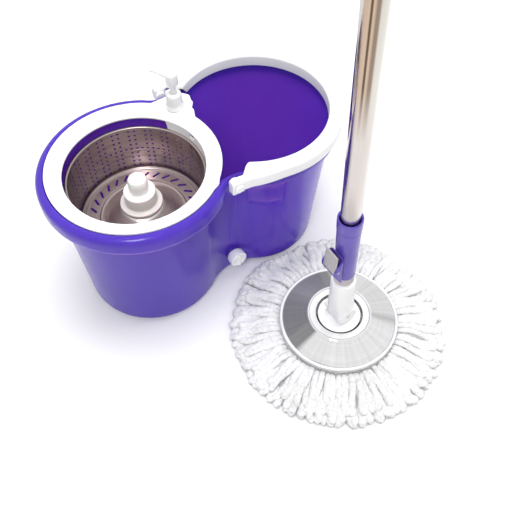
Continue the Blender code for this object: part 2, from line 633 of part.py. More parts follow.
def pole():
    lean = atan2(POLE_LEAN, 1.0)
    axis = empty("pole_axis", (MOP_X, MOP_Y, YOKE_Z), (0.0, lean, 0.0))
    at = dict(parent=axis)

    def section(half_x, half_y, height, power):
        """A ring between an ellipse, at power 1, and a rounded box."""
        ring = []
        for i in range(24):
            angle = 2 * pi * i / 24
            c, n = cos(angle), sin(angle)
            x = half_x * abs(c) ** power * (1 if c > 0 else -1)
            y = half_y * abs(n) ** power * (1 if n > 0 else -1)
            ring.append((x, y, height))
        return ring

    levels = [(YOKE_R - 0.0002, CHEEK_OUT - 0.0002, 0.0, 0.7), (0.0158, 0.0182, 0.0200, 0.75),
              (0.0172, 0.0175, 0.0360, 0.9), (0.0175, 0.0175, 0.0500, 1), (0.0170, 0.0170, 0.0790, 1),
              (0.0160, 0.0160, 0.0815, 1), (0.0110, 0.0110, 0.0820, 1), (0.0110, 0.0110, 0.1120, 1)]
    stem = place("yoke_stem", loft("yoke_stem", [section(*level) for level in levels]), WHITE, **at)
    cheek = cylinder_mesh("cheek", YOKE_R, (0, -CHEEK_OUT, 0), (0, CHEEK_OUT, 0), 32)
    boolean(stem, cheek, "UNION", axis)
    boolean(stem, box_mesh("slot", (-0.03, -CHEEK_IN, -0.03), (0.03, CHEEK_IN, 0.0165)), parent=axis)
    boolean(stem, cylinder_mesh("pin_hole", 0.0033, (0, -0.03, 0), (0, 0.03, 0)), parent=axis)
    bore = INNER_R + GAP
    boolean(stem, cylinder_mesh("socket", bore, (0, 0, INNER_BOTTOM - GAP), (0, 0, 0.12)), parent=axis)
    place("yoke_pin", cylinder_mesh("yoke_pin", 0.0030, (0, -0.0183, 0), (0, 0.0183, 0), 16), STEEL, **at)
    collar = [(0.0113, COLLAR_TOP), (0.0136, COLLAR_TOP), (0.0140, COLLAR_TOP - 0.0007),
              (0.0140, COLLAR_BOTTOM + 0.0012), (0.0133, COLLAR_BOTTOM), (0.0113, COLLAR_BOTTOM)]
    turned("lock_collar", collar, GREY, sides=SMALL, **at)

    sleeve = [(0.0136, SLEEVE_TOP), (0.0155, SLEEVE_TOP), (0.0160, SLEEVE_TOP - 0.0006), (0.0160, 0.1990),
              (0.0154, 0.1970), (0.0148, 0.1500), (0.0144, SLEEVE_BOTTOM), (0.0113, SLEEVE_BOTTOM),
              (0.0113, 0.1165), (0.0136, 0.1175)]
    made = turned("lock_sleeve", sleeve, PURPLE, sides=32, **at)

    def housing(bm):
        """Two cheeks and a back, widest at the pivot, that run out into the sleeve above and below."""
        rows = [(HOUSING_X, 0.1350, HOUSING_HALF), (HOUSING_X, 0.1270, HOUSING_HALF),
                (-0.0165, 0.1525, HOUSING_HALF), (-0.0165, SLEEVE_BOTTOM + 0.0030, HOUSING_HALF),
                (-0.0140, 0.1550, 0.0102), (-0.0140, SLEEVE_BOTTOM + 0.0010, 0.0102)]
        for x, height, half in rows:
            bm.verts.new((x, -half, height))
            bm.verts.new((x, half, height))
        bmesh.ops.convex_hull(bm, input=bm.verts[:])

    pocket_half = PADDLE_HALF + 0.0006
    pocket_low = LEVER_S - 0.0074
    boolean(made, mesh_from("housing", housing), "UNION", axis)
    pocket = box_mesh("pocket", (-0.04, -pocket_half, pocket_low), (-0.0154, pocket_half, 0.17))
    boolean(made, pocket, parent=axis)
    hole = cylinder_mesh("hole", LEVER_PIN_R + GAP, (LEVER_X, -0.03, LEVER_S), (LEVER_X, 0.03, LEVER_S), 16)
    boolean(made, hole, parent=axis)
    lever_axis = empty("lever_axis", (LEVER_X, 0.0, LEVER_S), parent=axis)
    barrel = cylinder_mesh("lock_lever", 0.0042, (0, -PADDLE_HALF, 0), (0, PADDLE_HALF, 0), 20)
    lever = place("lock_lever", barrel, GREY, parent=lever_axis)

    def paddle(bm):
        """The finger plate: a long flat plate beside the barrel, a little wider at its free end."""
        shape = [(-0.0058, -0.0030), (-0.0024, 0.0306), (0.0002, 0.0303), (-0.0012, 0.0060), (0.0, 0.0020),
                 (-0.0010, -0.0036)]
        rows = []
        for side in (-1, 1):
            rows.append([bm.verts.new((x, side * (PADDLE_HALF - 0.0002), height)) for x, height in shape])
        bm.faces.new(rows[0])
        bm.faces.new(rows[1])
        for i in range(len(shape)):
            j = (i + 1) % len(shape)
            bm.faces.new((rows[0][i], rows[0][j], rows[1][j], rows[1][i]))

    boolean(lever, mesh_from("paddle", paddle), "UNION", lever_axis)
    boolean(lever, cylinder_mesh("bore", LEVER_PIN_R + GAP, (0, -0.03, 0), (0, 0.03, 0), 16), parent=lever_axis)
    pin_end = HOUSING_HALF - 0.0002
    pin = cylinder_mesh("lever_pin", LEVER_PIN_R, (LEVER_X, -pin_end, LEVER_S), (LEVER_X, pin_end, LEVER_S), 16)
    place("lever_pin", pin, STEEL, **at)

    def tube(name, outer, wall, low, high, look, sides=SMALL):
        turned(name, [(outer - wall, high), (outer, high), (outer, low), (outer - wall, low)], look,
               sides=sides, **at)

    tube("inner_tube", INNER_R, INNER_WALL, INNER_BOTTOM, INNER_TOP, CHROME)
    tube("outer_tube", TUBE_R, TUBE_WALL, TUBE_BOTTOM, TUBE_TOP, CHROME, 24)
    slide_in = INNER_R + 0.0003
    slide_out = TUBE_R - TUBE_WALL - 0.0003
    bush = [(slide_in, 0.1480), (slide_out, 0.1480), (slide_out, TUBE_BOTTOM - GAP), (TUBE_R, TUBE_BOTTOM - GAP),
            (TUBE_R, 0.1183), (slide_in, 0.1183)]
    turned("guide_bush", bush, NATURAL, sides=SMALL, **at)
    clutch = [(0.0062, 0.5680), (0.0090, 0.5680), (INNER_R, 0.5670), (INNER_R, INNER_TOP + GAP),
              (0.0082, INNER_TOP + GAP), (0.0082, 0.5300), (0.0050, 0.5300), (0.0050, 0.5320), (0.0062, 0.5322)]
    turned("clutch_housing", clutch, NATURAL, sides=SMALL, **at)
    turned("drive_nut", [(0.0046, 0.5650), (0.0059, 0.5650), (0.0059, 0.5326), (0.0046, 0.5326)],
           ((0.60, 0.45, 0.20), 0.3, 1.0), sides=16, **at)
    rings = []
    steps = 60
    for i in range(steps + 1):
        s = ROD_BOTTOM + (ROD_TOP - ROD_BOTTOM) * i / steps
        turn = 2 * pi * (s - ROD_BOTTOM) / ROD_PITCH
        c, n = cos(turn), sin(turn)
        corners = [(1, 1), (-1, 1), (-1, -1), (1, -1)]
        rings.append([(u * ROD_WIDTH / 2 * c - v * ROD_THICK / 2 * n, u * ROD_WIDTH / 2 * n + v * ROD_THICK / 2 * c, s)
                      for u, v in corners])
    place("twist_rod", loft("twist_rod", rings), STEEL, **at)
    plug_r = TUBE_R - TUBE_WALL - GAP
    plug = [(0.0, TUBE_TOP - 0.0020), (plug_r, TUBE_TOP - 0.0020), (plug_r, 1.0050), (0.0041, 1.0050),
            (0.0041, ROD_TOP + GAP), (0.0, ROD_TOP + GAP)]
    turned("rod_plug", plug, NATURAL, closed=False, sides=SMALL, **at)
    inside = TUBE_R + GAP
    grip = [(inside, TUBE_TOP)]
    waves = 8
    length = TUBE_TOP - GRIP_BOTTOM
    for i in range(waves + 1):
        grip.append((0.0162 if i % 2 == 0 else 0.0170, TUBE_TOP - length * i / waves))
    grip.append((inside, GRIP_BOTTOM))
    turned("grip", grip, PURPLE, sides=SMALL, **at)
    low = TUBE_TOP + GAP
    cap = [(0.0, CAP_TOP), (0.0060, CAP_TOP - 0.0010), (0.0110, CAP_TOP - 0.0070), (0.0140, CAP_TOP - 0.0200),
           (0.0165, low + 0.0060), (0.0165, low), (0.0, low)]
    made = turned("end_cap", cap, WHITE, closed=False, sides=SMALL, **at)
    boolean(made, cylinder_mesh("eye", 0.0050, (0, -0.03, CAP_TOP - 0.016), (0, 0.03, CAP_TOP - 0.016), 20),
            parent=axis)


bucket_shell()
splash_ring()
spin_basket()
soap_pump()
drain()
carry_handle()
mop_head()
pole()
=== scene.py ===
"""Spin mop and its two-bowl bucket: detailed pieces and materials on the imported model. Lengths are metres."""

import random
from math import atan2, cos, degrees, hypot, pi, radians, sin, sqrt

import bmesh
import bpy
from mathutils import Matrix, Vector, noise


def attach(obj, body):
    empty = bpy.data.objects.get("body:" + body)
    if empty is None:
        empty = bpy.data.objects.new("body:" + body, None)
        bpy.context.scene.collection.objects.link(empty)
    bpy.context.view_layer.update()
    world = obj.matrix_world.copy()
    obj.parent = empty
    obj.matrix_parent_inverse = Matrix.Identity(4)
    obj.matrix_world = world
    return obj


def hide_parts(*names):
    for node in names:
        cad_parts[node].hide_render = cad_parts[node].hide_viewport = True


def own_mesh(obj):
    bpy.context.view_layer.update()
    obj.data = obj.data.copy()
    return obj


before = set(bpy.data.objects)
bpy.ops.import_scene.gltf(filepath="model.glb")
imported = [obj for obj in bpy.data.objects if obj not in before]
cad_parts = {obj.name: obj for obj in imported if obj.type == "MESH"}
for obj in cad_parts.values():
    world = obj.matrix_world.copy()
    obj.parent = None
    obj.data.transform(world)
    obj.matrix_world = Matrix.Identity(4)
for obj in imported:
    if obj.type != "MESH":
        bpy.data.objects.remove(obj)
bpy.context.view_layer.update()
scene = bpy.context.scene
scene.view_settings.view_transform = "Standard"

BASKET = Vector((-0.094, 0.0, 0.0))
MOP = Vector((0.0812, -0.2480, 0.0))
YOKE = Vector((0.0812, -0.2480, 0.0550))
LEAN = atan2(-0.056, 1.0)
PUMP = Vector((0.0065, 0.0670, 0.0))


# ---------------------------------------------------------------- materials
class Look:
    """A Principled material with helpers for its procedural detail."""

    def __init__(self, name, roughness, metallic=0.0, **sockets):
        self.made = bpy.data.materials.new(name)
        self.made.use_nodes = True
        self.tree = self.made.node_tree
        self.shader = self.tree.nodes["Principled BSDF"]
        self.shader.inputs["Roughness"].default_value = roughness
        self.shader.inputs["Metallic"].default_value = metallic
        for socket, value in sockets.items():
            self.shader.inputs[socket.replace("_", " ").title().replace("Ior", "IOR")].default_value = value
        self.space = self.tree.nodes.new("ShaderNodeTexCoord").outputs["Object"]

    def add(self, kind, **settings):
        node = self.tree.nodes.new(kind)
        for key, value in settings.items():
            setattr(node, key, value)
        return node

    def link(self, a, b):
        self.tree.links.new(a, b)

    def mapped(self, *scale):
        node = self.add("ShaderNodeMapping")
        self.link(self.space, node.inputs["Vector"])
        node.inputs["Scale"].default_value = scale or (1.0, 1.0, 1.0)
        return node.outputs["Vector"]

    def noise(self, vector, scale=1.0, detail=3.0, rough=0.5):
        node = self.add("ShaderNodeTexNoise")
        self.link(vector, node.inputs["Vector"])
        node.inputs["Scale"].default_value = scale
        node.inputs["Detail"].default_value = detail
        node.inputs["Roughness"].default_value = rough
        return node.outputs["Fac"]

    def math(self, operation, a, b=None, c=None):
        node = self.add("ShaderNodeMath", operation=operation)
        for socket, value in zip(node.inputs, (a, b, c)):
            if value is None:
                continue
            if isinstance(value, (int, float)):
                socket.default_value = value
            else:
                self.link(value, socket)
        return node.outputs["Value"]

    def spread(self, value, low, high, start=0.3, end=0.7):
        node = self.add("ShaderNodeMapRange", clamp=True)
        self.link(value, node.inputs["Value"])
        node.inputs["From Min"].default_value = start
        node.inputs["From Max"].default_value = end
        node.inputs["To Min"].default_value = low
        node.inputs["To Max"].default_value = high
        return node.outputs["Result"]

    def ramp(self, value, stops):
        node = self.add("ShaderNodeValToRGB")
        self.link(value, node.inputs["Fac"])
        band = node.color_ramp
        while len(band.elements) < len(stops):
            band.elements.new(0.5)
        for element, (place, colour) in zip(band.elements, stops):
            element.position = place
            element.color = (*colour, 1.0)
        return node.outputs["Color"]

    def mix(self, factor, a, b, kind="MIX"):
        node = self.add("ShaderNodeMix", data_type="RGBA", blend_type=kind)
        for socket, value in zip((node.inputs[0], node.inputs[6], node.inputs[7]), (factor, a, b)):
            if isinstance(value, (int, float)):
                socket.default_value = value
            elif isinstance(value, tuple):
                socket.default_value = (*value, 1.0)
            else:
                self.link(value, socket)
        return node.outputs[2]

    def colour(self, value):
        self.link(value, self.shader.inputs["Base Color"])

    def roughness(self, value):
        self.link(value, self.shader.inputs["Roughness"])

    def bump(self, *layers):
        """Stacks bump layers of (height, strength, distance)."""
        normal = None
        for height, strength, distance in layers:
            node = self.add("ShaderNodeBump")
            node.inputs["Strength"].default_value = strength
            node.inputs["Distance"].default_value = distance
            self.link(height, node.inputs["Height"])
            if normal:
                self.link(normal, node.inputs["Normal"])
            normal = node.outputs["Normal"]
        self.link(normal, self.shader.inputs["Normal"])

    def wash(self, tint):
        """Multiplies the base colour by a tint."""
        old = self.shader.inputs["Base Color"].links[0].from_socket
        self.colour(self.mix(1.0, old, tint, "MULTIPLY"))

    def parts(self):
        node = self.add("ShaderNodeSeparateXYZ")
        self.link(self.space, node.inputs["Vector"])
        return node.outputs

    def reach(self):
        """Distance from the piece's own axis."""
        x, y = self.parts()[:2]
        return self.math("SQRT", self.math("ADD", self.math("MULTIPLY", x, x), self.math("MULTIPLY", y, y)))

    def turn(self):
        """Angle round the piece's own axis, from -0.5 to 0.5 of a turn."""
        x, y = self.parts()[:2]
        return self.math("MULTIPLY", self.math("ARCTAN2", y, x), 0.5 / pi)


def plastic(name, dark, light, roughness, cloud=9.0, grain=700.0, relief=0.05, **sockets):
    """Moulded plastic: a faint cloud of tone, uneven gloss and a fine moulded grain."""
    look = Look(name, roughness, **sockets)
    tone = look.noise(look.mapped(1.0, 1.0, 0.6), cloud, 3.0)
    look.colour(look.ramp(tone, [(0.32, dark), (0.68, light)]))
    smear = look.noise(look.mapped(1.0, 1.0, 0.35), 55.0, 4.0)
    look.roughness(look.spread(smear, roughness - 0.02, roughness + 0.04, 0.0, 1.0))
    fine = look.noise(look.mapped(), grain, 2.0)
    wave = look.noise(look.mapped(), 28.0, 2.0)
    look.bump((wave, 0.10, 0.0015), (fine, relief, 0.0002))
    return look


def metal(name, dark, light, roughness, streaks="ring", fine=900.0, relief=0.06, **sockets):
    """Bare metal: streaks run round the piece's own axis, or along it."""
    look = Look(name, roughness, 1.0, **sockets)
    if streaks == "ring":
        x, y, z = look.parts()
        merged = look.add("ShaderNodeCombineXYZ")
        look.link(look.math("MULTIPLY", look.reach(), fine), merged.inputs["X"])
        look.link(look.math("MULTIPLY", z, fine), merged.inputs["Y"])
        look.link(look.math("MULTIPLY", look.math("ADD", x, y), 6.0), merged.inputs["Z"])
        vector = merged.outputs["Vector"]
    else:
        vector = look.mapped(fine, fine, 6.0)
    lines = look.noise(vector, 1.0, 3.0, 0.6)
    smear = look.noise(look.mapped(), 30.0, 4.0)
    look.colour(look.ramp(lines, [(0.30, dark), (0.72, light)]))
    both = look.math("ADD", look.math("MULTIPLY", lines, 0.5), look.math("MULTIPLY", smear, 0.5))
    look.roughness(look.spread(both, max(roughness - 0.05, 0.02), roughness + 0.08))
    look.bump((lines, relief, 0.0001))
    return look


def grey(level):
    return (level, level, level)


# tones of the painted reflections and painted dark streaks on the tube
COOL = (0.63, 0.60, 0.55)
BRIGHT = (0.72, 0.70, 0.65)
WARM = (0.54, 0.41, 0.31)
UMBER = (0.28, 0.21, 0.16)
DUSK = (0.33, 0.29, 0.33)
TUBE_FOOT = (0.64, 0.585, 0.555)
# painted reflections round the tube: place as a share of a turn, half width, tone, and the tones before and
# after
TUBE_PAINTED_REFLECTIONS = [(0.10, 0.008, (0.12, 0.08, 0.05), WARM, WARM), (0.17, 0.015, UMBER, WARM, COOL),
                (0.545, 0.012, UMBER, WARM, WARM), (0.89, 0.030, DUSK, COOL, COOL)]


def painted_tube_reflections():
    """Colour stops round the tube: painted reflections, soft-edged dark streaks on a tone that turns from warm
    to cool.
    """
    stops = [(0.0, WARM), (0.33, BRIGHT), (0.44, COOL), (0.66, COOL)]
    for place, half, tone, before, after in TUBE_PAINTED_REFLECTIONS:
        fade = 2.4 * half
        stops += [(place - fade, before), (place - half, tone), (place + half, tone), (place + fade, after)]
    return sorted(stops)


def drawn_tube():
    """Bright drawn steel with painted reflections: warm and cool bands and dark streaks run the length of the
    tube, and fade to a plain tone towards its foot.
    """
    look = metal("bright_tube", grey(0.86), grey(1.0), 0.14, streaks="along", relief=0.02)
    bands = look.ramp(look.math("ADD", look.turn(), 0.5), painted_tube_reflections())
    rise = look.ramp(look.parts()["Z"], [(0.355, grey(0.0)), (0.425, grey(1.0))])
    look.wash(look.mix(rise, TUBE_FOOT, bands))
    return look


def pressed_floor():
    """Pressed steel with painted light that makes it brighter on the cone, close to the hub, and painted shade
    with a pinkish cast that darkens it towards the drum's wall.
    """
    look = metal("pressed_stainless", grey(0.72), grey(1.0), 0.30)
    look.wash(look.ramp(look.math("MULTIPLY", look.reach(), 10.0),
                        [(0.30, (0.98, 0.92, 0.90)), (0.40, (0.90, 0.82, 0.80)), (0.52, (0.72, 0.62, 0.62)),
                         (0.60, (0.66, 0.56, 0.56))]))
    return look


def milky_hub():
    """Milky plastic, with painted shade that darkens the hub's foot below its bright knob."""
    look = plastic("milky_plastic", (0.88, 0.85, 0.84), (0.95, 0.93, 0.92), 0.30, cloud=40.0,
                   subsurface_weight=0.25, subsurface_scale=0.01)
    look.wash(look.ramp(look.math("MULTIPLY", look.parts()["Z"], 4.0),
                        [(0.655, (0.70, 0.66, 0.65)), (0.70, (0.80, 0.77, 0.76)), (0.76, grey(1.0))]))
    return look


PURPLE_DARK = (0.059, 0.024, 0.355)
PURPLE_LIGHT = (0.073, 0.030, 0.410)

shell_look = plastic("purple_shell", PURPLE_DARK, PURPLE_LIGHT, 0.22, cloud=7.0, coat_weight=0.16,
                     coat_roughness=0.08, specular_ior_level=0.22, subsurface_weight=0.7, subsurface_scale=0.02,
                     subsurface_radius=(0.9, 0.6, 1.0))
sleeve_look = plastic("purple_sleeve", (0.074, 0.040, 0.340), (0.096, 0.056, 0.400), 0.28, cloud=30.0,
                      coat_weight=0.25, coat_roughness=0.10)
grip_look = plastic("purple_grip", (0.070, 0.036, 0.310), (0.092, 0.050, 0.370), 0.42, cloud=30.0, relief=0.12)
white_look = plastic("white_plastic", (0.79, 0.785, 0.79), (0.83, 0.825, 0.83), 0.33, cloud=11.0)
cap_look = plastic("white_fittings", (0.84, 0.835, 0.84), (0.88, 0.88, 0.88), 0.30, cloud=40.0,
                   subsurface_weight=0.2, subsurface_scale=0.010, subsurface_radius=(1.0, 1.0, 1.0))
hub_look = milky_hub()
natural_look = plastic("natural_plastic", (0.66, 0.65, 0.60), (0.74, 0.73, 0.69), 0.42, cloud=45.0)
grey_look = plastic("grey_plastic", (0.46, 0.42, 0.43), (0.56, 0.52, 0.53), 0.40, cloud=50.0, relief=0.10)
lever_look = plastic("pale_grey_plastic", (0.36, 0.335, 0.345), (0.42, 0.395, 0.40), 0.36, cloud=50.0,
                     relief=0.08)
# painted shade: a dark plastic look put on the side wall of the groove round the disc's core
groove_shade_look = plastic("painted_groove_shade", (0.040, 0.040, 0.042), (0.060, 0.060, 0.062), 0.60, cloud=60.0)
rubber_look = plastic("black_rubber", (0.016, 0.016, 0.017), (0.030, 0.030, 0.031), 0.62, cloud=80.0,
                      relief=0.15)
drum_look = metal("brushed_stainless", (0.33, 0.270, 0.270), (0.52, 0.445, 0.440), 0.30)
floor_look = pressed_floor()
tube_look = drawn_tube()
steel_look = metal("plain_steel", (0.46, 0.45, 0.44), (0.62, 0.61, 0.60), 0.30, streaks="along")
brass_look = metal("brass", (0.52, 0.38, 0.15), (0.68, 0.52, 0.24), 0.30)


# stops round the disc, as shares of a turn: tone of the painted reflection sectors, and how metallic they are
DISC_PAINTED_REFLECTIONS = [(0.012, grey(0.21)), (0.032, grey(1.0)), (0.37, grey(1.0)), (0.40, grey(0.66)),
                (0.415, grey(0.90)), (0.55, grey(0.92)), (0.58, grey(1.0)), (0.655, grey(1.0)),
                (0.685, grey(0.21)), (0.80, grey(0.30)), (0.86, grey(0.22))]
DISC_PAINTED_REFLECTION_METALLIC = [(0.012, grey(0.12)), (0.032, grey(1.0)), (0.655, grey(1.0)), (0.685, grey(0.12))]
# stops from the disc's middle outwards, at ten times the radius: where it is plain, and its tone there
DISC_PLAIN = [(0.462, grey(1.0)), (0.476, grey(0.0)), (0.822, grey(0.0)), (0.830, grey(1.0))]
# near the middle, the near-black at the cover's inner edge is painted shade from the groove below it
DISC_RIM = [(0.336, grey(0.07)), (0.341, grey(0.12)), (0.346, grey(0.72)), (0.425, grey(0.78)),
            (0.440, grey(0.40)), (0.448, grey(0.84)), (0.470, grey(0.50)), (0.826, grey(0.50)),
            (0.838, grey(0.86)), (0.862, grey(0.86)), (0.872, grey(0.60))]


def disc_metal():
    """Mirror steel with painted reflections: broad dark and pale sectors fixed round the disc, made less
    metallic where they are dark.
    """
    look = metal("mirror_steel", grey(0.80), grey(0.90), 0.10, relief=0.015)
    turn = look.turn()
    wobble = look.noise(look.mapped(), 18.0, 2.0)
    share = look.math("ADD", look.math("ADD", turn, 0.5),
                      look.math("MULTIPLY", look.math("SUBTRACT", wobble, 0.5), 0.02))
    spokes = look.add("ShaderNodeCombineXYZ")
    look.link(look.math("MULTIPLY", turn, 60.0), spokes.inputs["X"])
    rays = look.noise(spokes.outputs["Vector"], 1.0, 2.0)
    fine = look.noise(look.mapped(), 6.0, 3.0)
    tone = look.math("ADD", look.math("MULTIPLY", rays, 0.75), look.math("MULTIPLY", fine, 0.25))
    look.wash(look.ramp(share, DISC_PAINTED_REFLECTIONS))
    look.wash(look.ramp(tone, [(0.30, grey(0.86)), (0.60, grey(1.0))]))
    place = look.math("MULTIPLY", look.reach(), 10.0)
    plain = look.ramp(place, DISC_PLAIN)
    spun = look.shader.inputs["Base Color"].links[0].from_socket
    look.colour(look.mix(plain, spun, look.ramp(place, DISC_RIM)))
    look.link(look.mix(plain, look.ramp(share, DISC_PAINTED_REFLECTION_METALLIC), grey(0.30)), look.shader.inputs["Metallic"])
    return look


disc_look = disc_metal()


def fibre():
    """Microfibre yarn: soft, matt, with fuzz and twist lines, and painted shade that greys each strand's
    underside, the roots and the mat beneath.
    """
    look = Look("microfibre", 0.95, sheen_weight=0.35, sheen_roughness=0.6)
    tone = look.noise(look.mapped(), 230.0, 4.0, 0.65)
    soft = look.noise(look.mapped(), 22.0, 2.0)
    both = look.math("ADD", look.math("MULTIPLY", tone, 0.7), look.math("MULTIPLY", soft, 0.3))
    yarn = look.ramp(both, [(0.38, grey(0.56)), (0.50, grey(0.68)), (0.62, grey(0.74))])
    # the hollow attribute holds painted shade: it darkens the strands' undersides, their roots and the mat
    # beneath
    hollow = look.add("ShaderNodeAttribute", attribute_name="hollow").outputs["Fac"]
    look.colour(yarn)
    look.wash(look.ramp(hollow, [(0.0, grey(1.0)), (1.0, (0.42, 0.42, 0.43))]))
    look.roughness(look.spread(tone, 0.88, 1.0))
    fuzz = look.noise(look.mapped(), 900.0, 3.0, 0.7)
    tuft = look.noise(look.mapped(), 260.0, 2.0)
    look.bump((tuft, 0.70, 0.0022), (fuzz, 0.55, 0.0008))
    return look


fibre_look = fibre()


# ---------------------------------------------------------------- mesh helpers
RIDGE = 0.00035            # height of the fine ridges on closures and grips


def keep(name, mesh, look, body, nodes=(), at=(0.0, 0.0, 0.0), tilt=0.0, sharp=38):
    """Shows a mesh as one piece on a body, in place of CAD nodes."""
    made = bpy.data.objects.new(name, mesh)
    scene.collection.objects.link(made)
    mesh.materials.clear()
    mesh.materials.append(look.made)
    made.location = at
    made.rotation_euler = (0.0, tilt, 0.0)
    mesh.shade_smooth()
    mesh.set_sharp_from_angle(angle=radians(sharp))
    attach(made, body)
    if nodes:
        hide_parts(*nodes)
    return made


def outward(mesh):
    bm = bmesh.new()
    bm.from_mesh(mesh)
    bmesh.ops.recalc_face_normals(bm, faces=bm.faces)
    bm.to_mesh(mesh)
    bm.free()


def mesh_from(name, points, faces):
    mesh = bpy.data.meshes.new(name)
    mesh.from_pydata(points, [], faces)
    outward(mesh)
    return mesh


def skin(rows, count, first=0, closed_rows=False):
    """Faces between rows of equal rings, numbered from the first point."""
    faces = []
    for i in range(rows if closed_rows else rows - 1):
        here = first + i * count
        there = first + (i + 1) % rows * count
        for j in range(count):
            k = (j + 1) % count
            faces.append((here + j, here + k, there + k, there + j))
    return faces


def ends(rows, count, first=0):
    """Faces that close the first ring and the last."""
    last = first + (rows - 1) * count
    return [tuple(range(first, first + count)), tuple(range(last, last + count))]


def grid_mesh(name, rings, closed_rows=False, caps=False):
    """Skins rows of equal rings."""
    rows, count = len(rings), len(rings[0])
    faces = skin(rows, count, 0, closed_rows) + (ends(rows, count) if caps else [])
    return mesh_from(name, [p for ring in rings for p in ring], faces)


def circle(radius, height, sides):
    return [(radius * cos(2 * pi * i / sides), radius * sin(2 * pi * i / sides), height) for i in range(sides)]


def ridged(name, levels, steps, pitch):
    """A turned ring from levels of (radius, height, share of the ridge), with a ridge to every pitch steps."""
    rings = []
    for radius, height, share in levels:
        ring = []
        for i in range(steps):
            a = 2 * pi * i / steps
            out = radius + share * RIDGE * (1 if i % pitch < pitch / 2 else -1)
            ring.append((out * cos(a), out * sin(a), height))
        rings.append(ring)
    return grid_mesh(name, rings, closed_rows=True)


def softened(profile, radius, closed=True, steps=3):
    """Rounds a profile's corners."""
    made = []
    count = len(profile)
    for i, here in enumerate(profile):
        if not closed and i in (0, count - 1):
            made.append(here)
            continue
        corner = Vector(here)
        before = Vector(profile[i - 1]) - corner
        after = Vector(profile[(i + 1) % count]) - corner
        if before.length < 1e-7 or after.length < 1e-7 or before.angle(after) > radians(168):
            made.append(here)
            continue
        cut = min(radius, before.length * 0.42, after.length * 0.42)
        a = corner + before.normalized() * cut
        b = corner + after.normalized() * cut
        for k in range(steps + 1):
            t = k / steps
            made.append(tuple(a * (1 - t) ** 2 + corner * 2 * t * (1 - t) + b * t ** 2))
    return made


def lathe_mesh(name, profile, closed=True, soft=0.0006, sides=96, steps=3):
    """A turned mesh; an open profile starts and ends on the axis."""
    points = softened(profile, soft, closed, steps) if soft else profile
    rings = [circle(r, z, sides) for r, z in (points if closed else points[1:-1])]
    if closed:
        return grid_mesh(name, rings, closed_rows=True)
    verts = [p for ring in rings for p in ring]
    faces = skin(len(rings), sides)
    first = len(verts)
    last = first - sides
    for j in range(sides):
        k = (j + 1) % sides
        faces += [(first, k, j), (first + 1, last + j, last + k)]
    return mesh_from(name, verts + [(0.0, 0.0, points[0][1]), (0.0, 0.0, points[-1][1])], faces)


def lathe(name, profile, look, body, nodes=(), at=(0.0, 0.0, 0.0), tilt=0.0, closed=True,
          soft=0.0006, sides=96, steps=3, sharp=38):
    mesh = lathe_mesh(name, profile, closed, soft, sides, steps)
    return keep(name, mesh, look, body, nodes, at, tilt, sharp)


def cylinder(name, radius, start, end, sides=32, end_radius=None):
    start = Vector(start)
    end = Vector(end)
    along = end - start
    turn = along.to_track_quat("Z", "Y").to_matrix().to_4x4()
    bm = bmesh.new()
    bmesh.ops.create_cone(bm, cap_ends=True, segments=sides, radius1=radius,
                          radius2=radius if end_radius is None else end_radius, depth=along.length,
                          matrix=Matrix.Translation((start + end) / 2) @ turn)
    mesh = bpy.data.meshes.new(name)
    bm.to_mesh(mesh)
    bm.free()
    return mesh


def bar(name, low, high, bevel=0.0, turn=None):
    bm = bmesh.new()
    size = [b - a for a, b in zip(low, high)]
    middle = [(a + b) / 2 for a, b in zip(low, high)]
    matrix = Matrix.Translation(middle) @ Matrix.Diagonal((*size, 1.0))
    bmesh.ops.create_cube(bm, size=1.0, matrix=(turn or Matrix()) @ matrix)
    if bevel:
        bmesh.ops.bevel(bm, geom=bm.edges[:], offset=bevel, segments=3, affect="EDGES", profile=0.5)
    mesh = bpy.data.meshes.new(name)
    bm.to_mesh(mesh)
    bm.free()
    return mesh


def together(name, meshes):
    """Puts several meshes into one, without joining their walls."""
    bm = bmesh.new()
    for mesh in meshes:
        bm.from_mesh(mesh)
    made = bpy.data.meshes.new(name)
    bm.to_mesh(made)
    bm.free()
    return made


def applied(body):
    """The object's mesh with its modifiers applied."""
    return bpy.data.meshes.new_from_object(body.evaluated_get(bpy.context.evaluated_depsgraph_get()))


def carved(mesh, tools, operation="DIFFERENCE"):
    """Cuts tools from a mesh, or joins them on."""
    body = bpy.data.objects.new("carved_body", mesh)
    scene.collection.objects.link(body)
    helpers = [body]
    for tool in tools:
        helper = bpy.data.objects.new("carved_tool", tool)
        scene.collection.objects.link(helper)
        helpers.append(helper)
        step = body.modifiers.new("cut", "BOOLEAN")
        step.operation = operation
        step.object = helper
        step.solver = "EXACT"
    made = applied(body)
    for helper in helpers:
        bpy.data.objects.remove(helper)
    return made


def smoothstep(low, high, value):
    t = min(max((value - low) / (high - low), 0.0), 1.0)
    return t * t * (3 - 2 * t)


# ---------------------------------------------------------------- bucket
DRAIN = Matrix.Translation((0.0075, 0.0, 0.0475)) @ Matrix.Rotation(radians(90), 4, "X")
BOSS_OUT = 0.0765
BOWL_X = 0.094
ARC_STEPS = 160
WAIST_STEPS = 56


